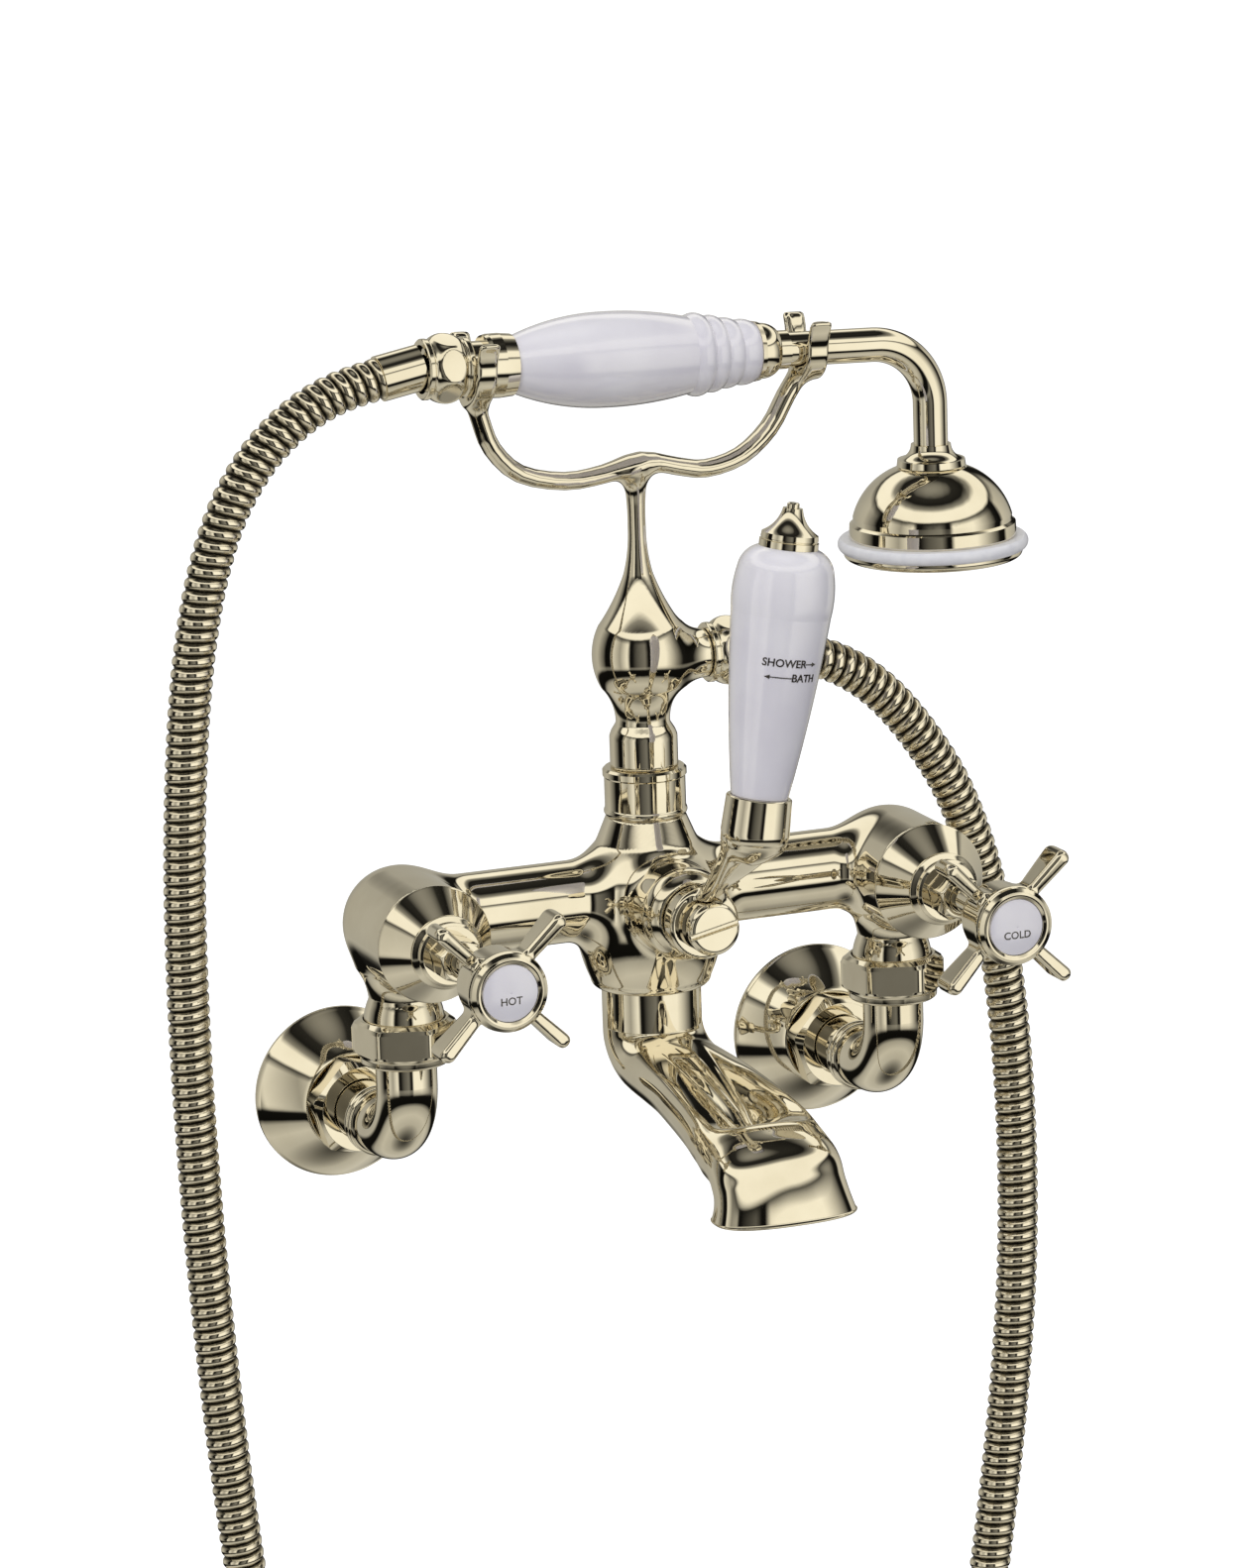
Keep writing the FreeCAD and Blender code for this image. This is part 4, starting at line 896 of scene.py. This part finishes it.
# ---------------------------------------------------------------- spout
def spout_shell():
    """Knee under the collar, then a trough with a tapering rib that ends in a hood."""
    front, back = axis_reach + spout_collar_r, axis_reach - spout_collar_r
    lip_back = mouth_reach - mouth_deep
    # Each row: reach and height of the crown, then of the floor, half width, squareness,
    # trough depth, share of the width that the rib takes, and how far the rib rises.
    rows = []
    for k in range(5):
        angle = math.radians(18.0 * k)
        ahead, drop = 1 - math.cos(angle), math.sin(angle)
        rows.append((front + 8.1 * ahead, spout_collar_low - 1.4 * drop,
                     back + 33.3 * ahead, spout_collar_low - 22.4 * drop,
                     spout_collar_r + 0.9 * drop, 1.0 - 0.12 * ahead, 0.5 * ahead, 0.42, 0.8))
    rows += [
        (front + 8.1, 29.6, back + 33.3, 8.6, 18.0, 0.86, 1.0, 0.40, 0.9),
        (front + 19.0, 29.4, back + 47.0, 8.3, 18.4, 0.82, 3.2, 0.37, 0.72),
        (front + 31.0, 28.8, back + 61.3, 7.8, 18.8, 0.78, 5.5, 0.32, 0.50),
        (front + 44.0, 27.6, back + 74.5, 6.3, 19.6, 0.76, 7.9, 0.26, 0.36),
        (front + 57.0, 26.2, back + 87.3, 4.5, 20.5, 0.75, 10.2, 0.19, 0.26),
        (front + 66.0, 24.9, back + 94.6, 3.2, 21.1, 0.75, 11.6, 0.13, 0.16),
        (front + 73.0, 23.6, back + 99.0, 2.1, 21.6, 0.76, 11.4, 0.10, 0.03),
        (front + 77.6, 22.5, back + 101.8, 1.2, 21.8, 0.77, 8.0, 0.16, 0.0),
        (front + 81.0, 21.5, back + 104.0, 0.5, 21.9, 0.78, 3.4, 0.26, 0.0),
        (front + 84.0, 20.6, back + 106.4, -0.4, 22.1, 0.79, 0.5, 0.36, 0.0),
        (front + 88.0, 19.4, back + 109.6, -1.6, 22.3, 0.80, 0.0, 0.40, 0.0),
        (mouth_reach - 15.5, 16.8, lip_back - 2.5, -2.6, 22.5, 0.82, 0.0, 0.40, 0.0),
        (mouth_reach - 10.0, 13.2, lip_back - 1.1, -4.6, 22.6, 0.82, 0.0, 0.40, 0.0),
        (mouth_reach - 6.2, 7.0, lip_back - 0.5, -6.0, 22.7, 0.82, 0.0, 0.40, 0.0),
        (mouth_reach - 3.0, 0.0, lip_back - 0.2, -7.2, 23.5, 0.80, 0.0, 0.40, 0.0),
        (mouth_reach, mouth_low, lip_back, mouth_low, 25.0, 0.78, 0.0, 0.40, 0.0)]
    table = np.array(rows)
    per_span = 10
    ends = np.vstack([2 * table[:1] - table[1:2], table, 2 * table[-1:] - table[-2:-1]])
    dense = []
    for k in range(1, len(ends) - 2):
        p0, p1, p2, p3 = ends[k - 1:k + 3]
        for t in np.arange(per_span) / per_span:
            dense.append(0.5 * (2 * p1 + (p2 - p0) * t + (2 * p0 - 5 * p1 + 4 * p2 - p3) * t ** 2
                                + (3 * p1 - p0 - 3 * p2 + p3) * t ** 3))
    dense.append(table[-1])
    around = 224
    angles = math.tau * np.arange(around) / around - math.pi / 2
    blur = np.array((-0.045, -0.022, 0.0, 0.022, 0.045))

    def ring(row, inset, lift=0.0):
        fy, fz, by, bz, half_x, square, trough, rib, rib_high = row
        trough, inside = max(trough, 0.0), inset == spout_wall
        crown, floor = np.array((0, -fy, fz + lift)), np.array((0, -by, bz + lift))
        rise = (crown - floor) / np.linalg.norm(crown - floor)
        top = crown - rise * (inset + (trough if inside else 0.0))
        low = floor + rise * inset
        half = (top - low) / 2
        power = lambda x: np.copysign(np.abs(x) ** square, x)
        across, up = power(np.cos(angles)), power(np.sin(angles))
        off = np.abs(np.abs(across)[:, None] + blur)
        facet = np.clip(1 - (off - rib) / (0.88 - rib), 0, 1)
        ridge = 1 - rib_high * (1 - np.clip(off / rib, 0, 1) ** 2)
        dip = trough * np.where(off < rib, ridge, facet).mean(1) * (up > 0) * (not inside)
        return (top - half)[None] + np.outer((half_x - inset) * across, (1, 0, 0)) \
            + np.outer(up, half) - np.outer(dip, rise)

    def circle(radius, level):
        return np.stack([radius * np.cos(angles), axis_y - radius * np.sin(angles),
                         np.full(around, level)], 1)

    outer = [circle(16.05, 43.1), circle(16.05, 31.4)] + [ring(row, 0.0) for row in dense[:-1]]
    rim = [ring(dense[-1], inset, lift) for inset, lift in
           ((0.0, 0.9), (0.12, 0.4), (0.5, 0.08), (1.1, 0.0), (1.9, 0.0), (2.4, 0.1))]
    inner = [ring(row, spout_wall) for row in reversed(dense)][::2]
    rings = outer + rim + inner + [circle(9.0, 31.0), circle(9.0, 43.1)]
    points = np.concatenate(rings) * MM
    count = len(rings)
    first = np.arange(count)[:, None] * around
    after = (np.arange(count)[:, None] + 1) % count * around
    here, turn = np.arange(around)[None], (np.arange(around)[None] + 1) % around
    quads = np.stack([first + here, first + turn, after + turn, after + here], -1).reshape(-1, 4)
    mesh = bpy.data.meshes.new("spout")
    mesh.from_pydata(points.tolist(), [], quads.tolist())
    work = bmesh.new()
    work.from_mesh(mesh)
    bmesh.ops.recalc_face_normals(work, faces=work.faces)
    work.to_mesh(mesh)
    work.free()
    mesh_piece("spout_shell", mesh, "filler", "nickel", nickel, "spout", weighted=False)


# ---------------------------------------------------------------- turned and hexagon pieces
def turned_pair(name, outline, place, along, node, **more):
    """Two alike pieces, one on each side, that share a CAD node."""
    def build(mesh):
        for x in sides.values():
            add_turned(mesh, outline, Vector((x, 0, 0)) + place, along, **more)
    mesh_piece(name, made(build), "filler", "nickel", nickel, node)


def turned_pieces():
    """Nuts, cones, rings and buttons, with outlines as (distance along, radius)."""
    high, leg = Vector((0, 0, valve_height)), Vector((0, axis_y, 0))
    none = Vector((0, 0, 0))
    turned_pair("wall_union_nut_pair", [
        (17.8, 10.8), (17.8, 15.0), (18.9, 18.24), (26.0, 18.24), (27.8, 15.0), (27.8, 10.8),
        (25.8, 10.8), (25.8, 14.0), (21.8, 14.0), (21.8, 10.8)], none, OUT,
        "wall_union_nuts", spin=18, hexagon=nut_af, blend=0.7)
    turned_pair("valve_union_nut_pair", [
        (28.6, 10.8), (28.6, 14.5), (29.3, 15.4), (31.2, 15.5), (31.8, 15.9), (32.6, 17.6),
        (33.6, 18.24), (41.4, 18.24), (42.9, 17.2), (44.2, 15.0), (44.2, 14.0), (30.8, 14.0),
        (30.8, 10.8)], leg, UP, "valve_union_nuts", spin=10, hexagon=nut_af, blend=0.9, ease=0.5)
    turned_pair("gland_nut_pair", [
        (124.0, 4.6), (124.0, 6.8), (124.9, 8.08), (134.0, 8.08), (135.0, 6.8), (135.0, 4.6)],
        high, OUT, "gland_nuts", spin=12, hexagon=gland_af, blend=0.3)
    for side, x in sides.items():
        base = Vector((x, 0, 0))
        turned("wall_flange_cone_" + side, [
            (0, 28.2), (0, 30.2), (0.3, 30.4), (1.6, 30.4), (2.3, 29.7), (9.4, 24.7, 16.3, 18.6),
            (17.0, 17.9), (17.5, 17.2), (17.3, 16.2), (15.1, 15.2), (15.1, 10.8), (13.6, 10.8),
            (13.0, 15.0), (8.2, 22.4)], base, OUT, "filler", "wall_flange_" + side)
        turned("bonnet_cone_" + side, [
            (98.2, 4.6), (98.2, 14.2), (106.2, 14.2), (106.2, 19.4), (106.6, 20.0), (107.5, 20.1),
            (108.1, 19.5), (118.4, 11.9), (118.8, 12.6), (119.9, 12.6), (120.3, 11.8),
            (121.0, 10.6), (122.2, 10.6), (122.6, 11.0), (123.4, 11.0), (124.0, 10.0),
            (124.0, 4.6)],
            base + high, OUT, "filler", "bonnet_" + side)
        turned("index_bezel_rings_" + side, [
            (175.0, 9.7), (175.0, 13.3), (175.4, 13.6), (176.6, 13.6), (176.9, 13.0),
            (177.3, 13.0), (177.6, 13.4), (178.6, 13.2), (179.7, 12.0), (180.0, 11.2),
            (179.9, 10.6), (179.3, 9.7)], base + high, OUT, side + "_handle",
            "index_bezel_" + side, ease=0.2)
        turned("index_button_domed_" + side, [
            (176.5, 0), (176.5, 9.58), (179.2, 9.58), (179.8, 6.0, 180.0, 0)],
            base + high, OUT, side + "_handle", "index_button_" + side, slot="porcelain")
    turned("diverter_gland_ring", [
        (108.1, 5.1), (108.1, 11.9), (116.0, 11.9), (116.0, 10.8), (117.6, 10.8), (118.2, 10.2),
        (118.2, 5.1)], high, OUT, "filler", "diverter_gland")
    turned("lever_collar_flared", [
        (34.0, 0), (34.0, 7.2), (34.7, 9.9, 37.4, 11.3), (38.6, 11.5), (50.2, 11.0), (50.6, 10.6),
        (50.6, 9.5), (48.6, 9.5), (48.6, 0)], lever_base, LEVER, "diverter_lever",
        "lever_collar")
    ball = [(0, 8.1), (0, 9.8), (0.5, 10.3), (1.9, 10.3), (2.3, 9.7), (2.8, 9.7),
            (8.25, 11.9, 13.7, 9.7), (14.2, 9.7), (14.6, 10.3), (16.0, 10.3), (16.5, 9.8),
            (16.5, 8.1)]
    turned("outlet_ball_nut", [tuple(v + outlet_reach * (k % 2 == 0) for k, v in enumerate(e))
                               for e in ball], Vector((0, axis_y, outlet_height)), RIGHT, "filler",
           "outlet_nut", spin=15, hexagon=ball_nut_af, blend=0.2)
    turned("handset_ball_nut", [tuple(v - 75.4 * (k % 2 == 0) for k, v in enumerate(e))
                                for e in ball], grip_base, GRIP, "handset",
           "handset_nut", spin=15, hexagon=ball_nut_af, blend=0.2)


# ---------------------------------------------------------------- index lettering
capital_share = 0.7          # height of a capital, as a share of the type size
relief = 0.12                # half thickness of an arrow, mm


def lettering(name, words, cap_height, body, wrap):
    """Small fired letters; wrap takes a point of the flat word to its place on the glaze."""
    data = bpy.data.curves.new(name, "FONT")
    data.body = words
    data.size = cap_height / capital_share
    data.align_x = "CENTER"
    data.align_y = "CENTER"
    data.extrude = 0.14
    data.offset = 0.05
    data.resolution_u = 4
    holder = bpy.data.objects.new(name, data)
    bpy.context.scene.collection.objects.link(holder)
    bpy.context.view_layer.update()
    mesh = bpy.data.meshes.new_from_object(holder)
    bpy.data.objects.remove(holder)
    work = bmesh.new()
    work.from_mesh(mesh)
    bmesh.ops.remove_doubles(work, verts=work.verts, dist=0.001)
    for vertex in work.verts:
        vertex.co = wrap(vertex.co) * MM
    bmesh.ops.recalc_face_normals(work, faces=work.faces)
    work.to_mesh(mesh)
    work.free()
    mesh_piece(name, mesh, body, "porcelain", enamel, weighted=False)
    for polygon in mesh.polygons:
        polygon.use_smooth = False


def arrow(name, start, end, row, wrap):
    """Thin arrow from one place across to another, its head at the end."""
    neck = end - math.copysign(1.9, end - start)
    steps = max(3, round(abs(neck - start) / 0.7))
    shaft = [(start + (neck - start) * k / steps, -0.17) for k in range(steps + 1)]
    head = [(neck, -0.75), (end, 0.0), (neck, 0.75)]
    outline = shaft + head + [(x, -y) for x, y in reversed(shaft)]
    count = len(outline)
    work = bmesh.new()
    levels = [[work.verts.new(wrap(Vector((x, y, z)), row) * MM) for x, y in outline]
              for z in (-relief, relief)]
    for level in levels:
        work.faces.new(level[steps:steps + 5])
        for k in range(steps):
            work.faces.new([level[n] for n in (k, k + 1, count - 2 - k, count - 1 - k)])
    for k in range(count):
        n = (k + 1) % count
        work.faces.new([levels[0][k], levels[0][n], levels[1][n], levels[1][k]])
    bmesh.ops.recalc_face_normals(work, faces=work.faces)
    mesh = bpy.data.meshes.new(name)
    work.to_mesh(mesh)
    work.free()
    mesh_piece(name, mesh, "diverter_lever", "porcelain", enamel, weighted=False)


def index_marks():
    """Words on the two buttons and on the lever, with the lever's two arrows."""
    for side, words in (("hot", "HOT"), ("cold", "COLD")):
        x = sides[side]
        lettering("index_word_" + side, words, 2.5, side + "_handle",
                  lambda p, x=x: Vector((x + p.x, -(179.95 + p.z - 0.004 * (p.x ** 2 + 6.8)),
                                         valve_height - 2.6 + p.y)))
    side = Vector((LEVER.z, 0, -LEVER.x))
    outline = flattened([(50.8, 9.6), (82.0, 13.9, 112.0, 16.6), (121.0, 16.9, 126.4, 16.1)])

    def wrap(p, row=0.0):
        along = p.y + row
        radius = float(np.interp(along, [h for h, _ in outline], [w for _, w in outline]))
        angle = p.x / radius
        return lever_base + LEVER * along + (side * math.sin(angle) + OUT * math.cos(angle)) \
            * (radius + p.z + 0.02)

    lettering("lever_word_shower", "SHOWER", 2.6, "diverter_lever",
              lambda p: wrap(p + Vector((-3.0, 0, 0)), 97.6))
    lettering("lever_word_bath", "BATH", 2.6, "diverter_lever",
              lambda p: wrap(p + Vector((4.6, 0, 0)), 92.8))
    arrow("lever_arrow_shower", 4.4, 9.2, 97.6, wrap)
    arrow("lever_arrow_bath", 0.4, -9.4, 92.8, wrap)


body_casting()
cradle_casting()
for name, x_place in sides.items():
    cross_handle(name, x_place)
lever_casting()
lever_cap_screw()
spout_shell()
turned_pieces()
index_marks()
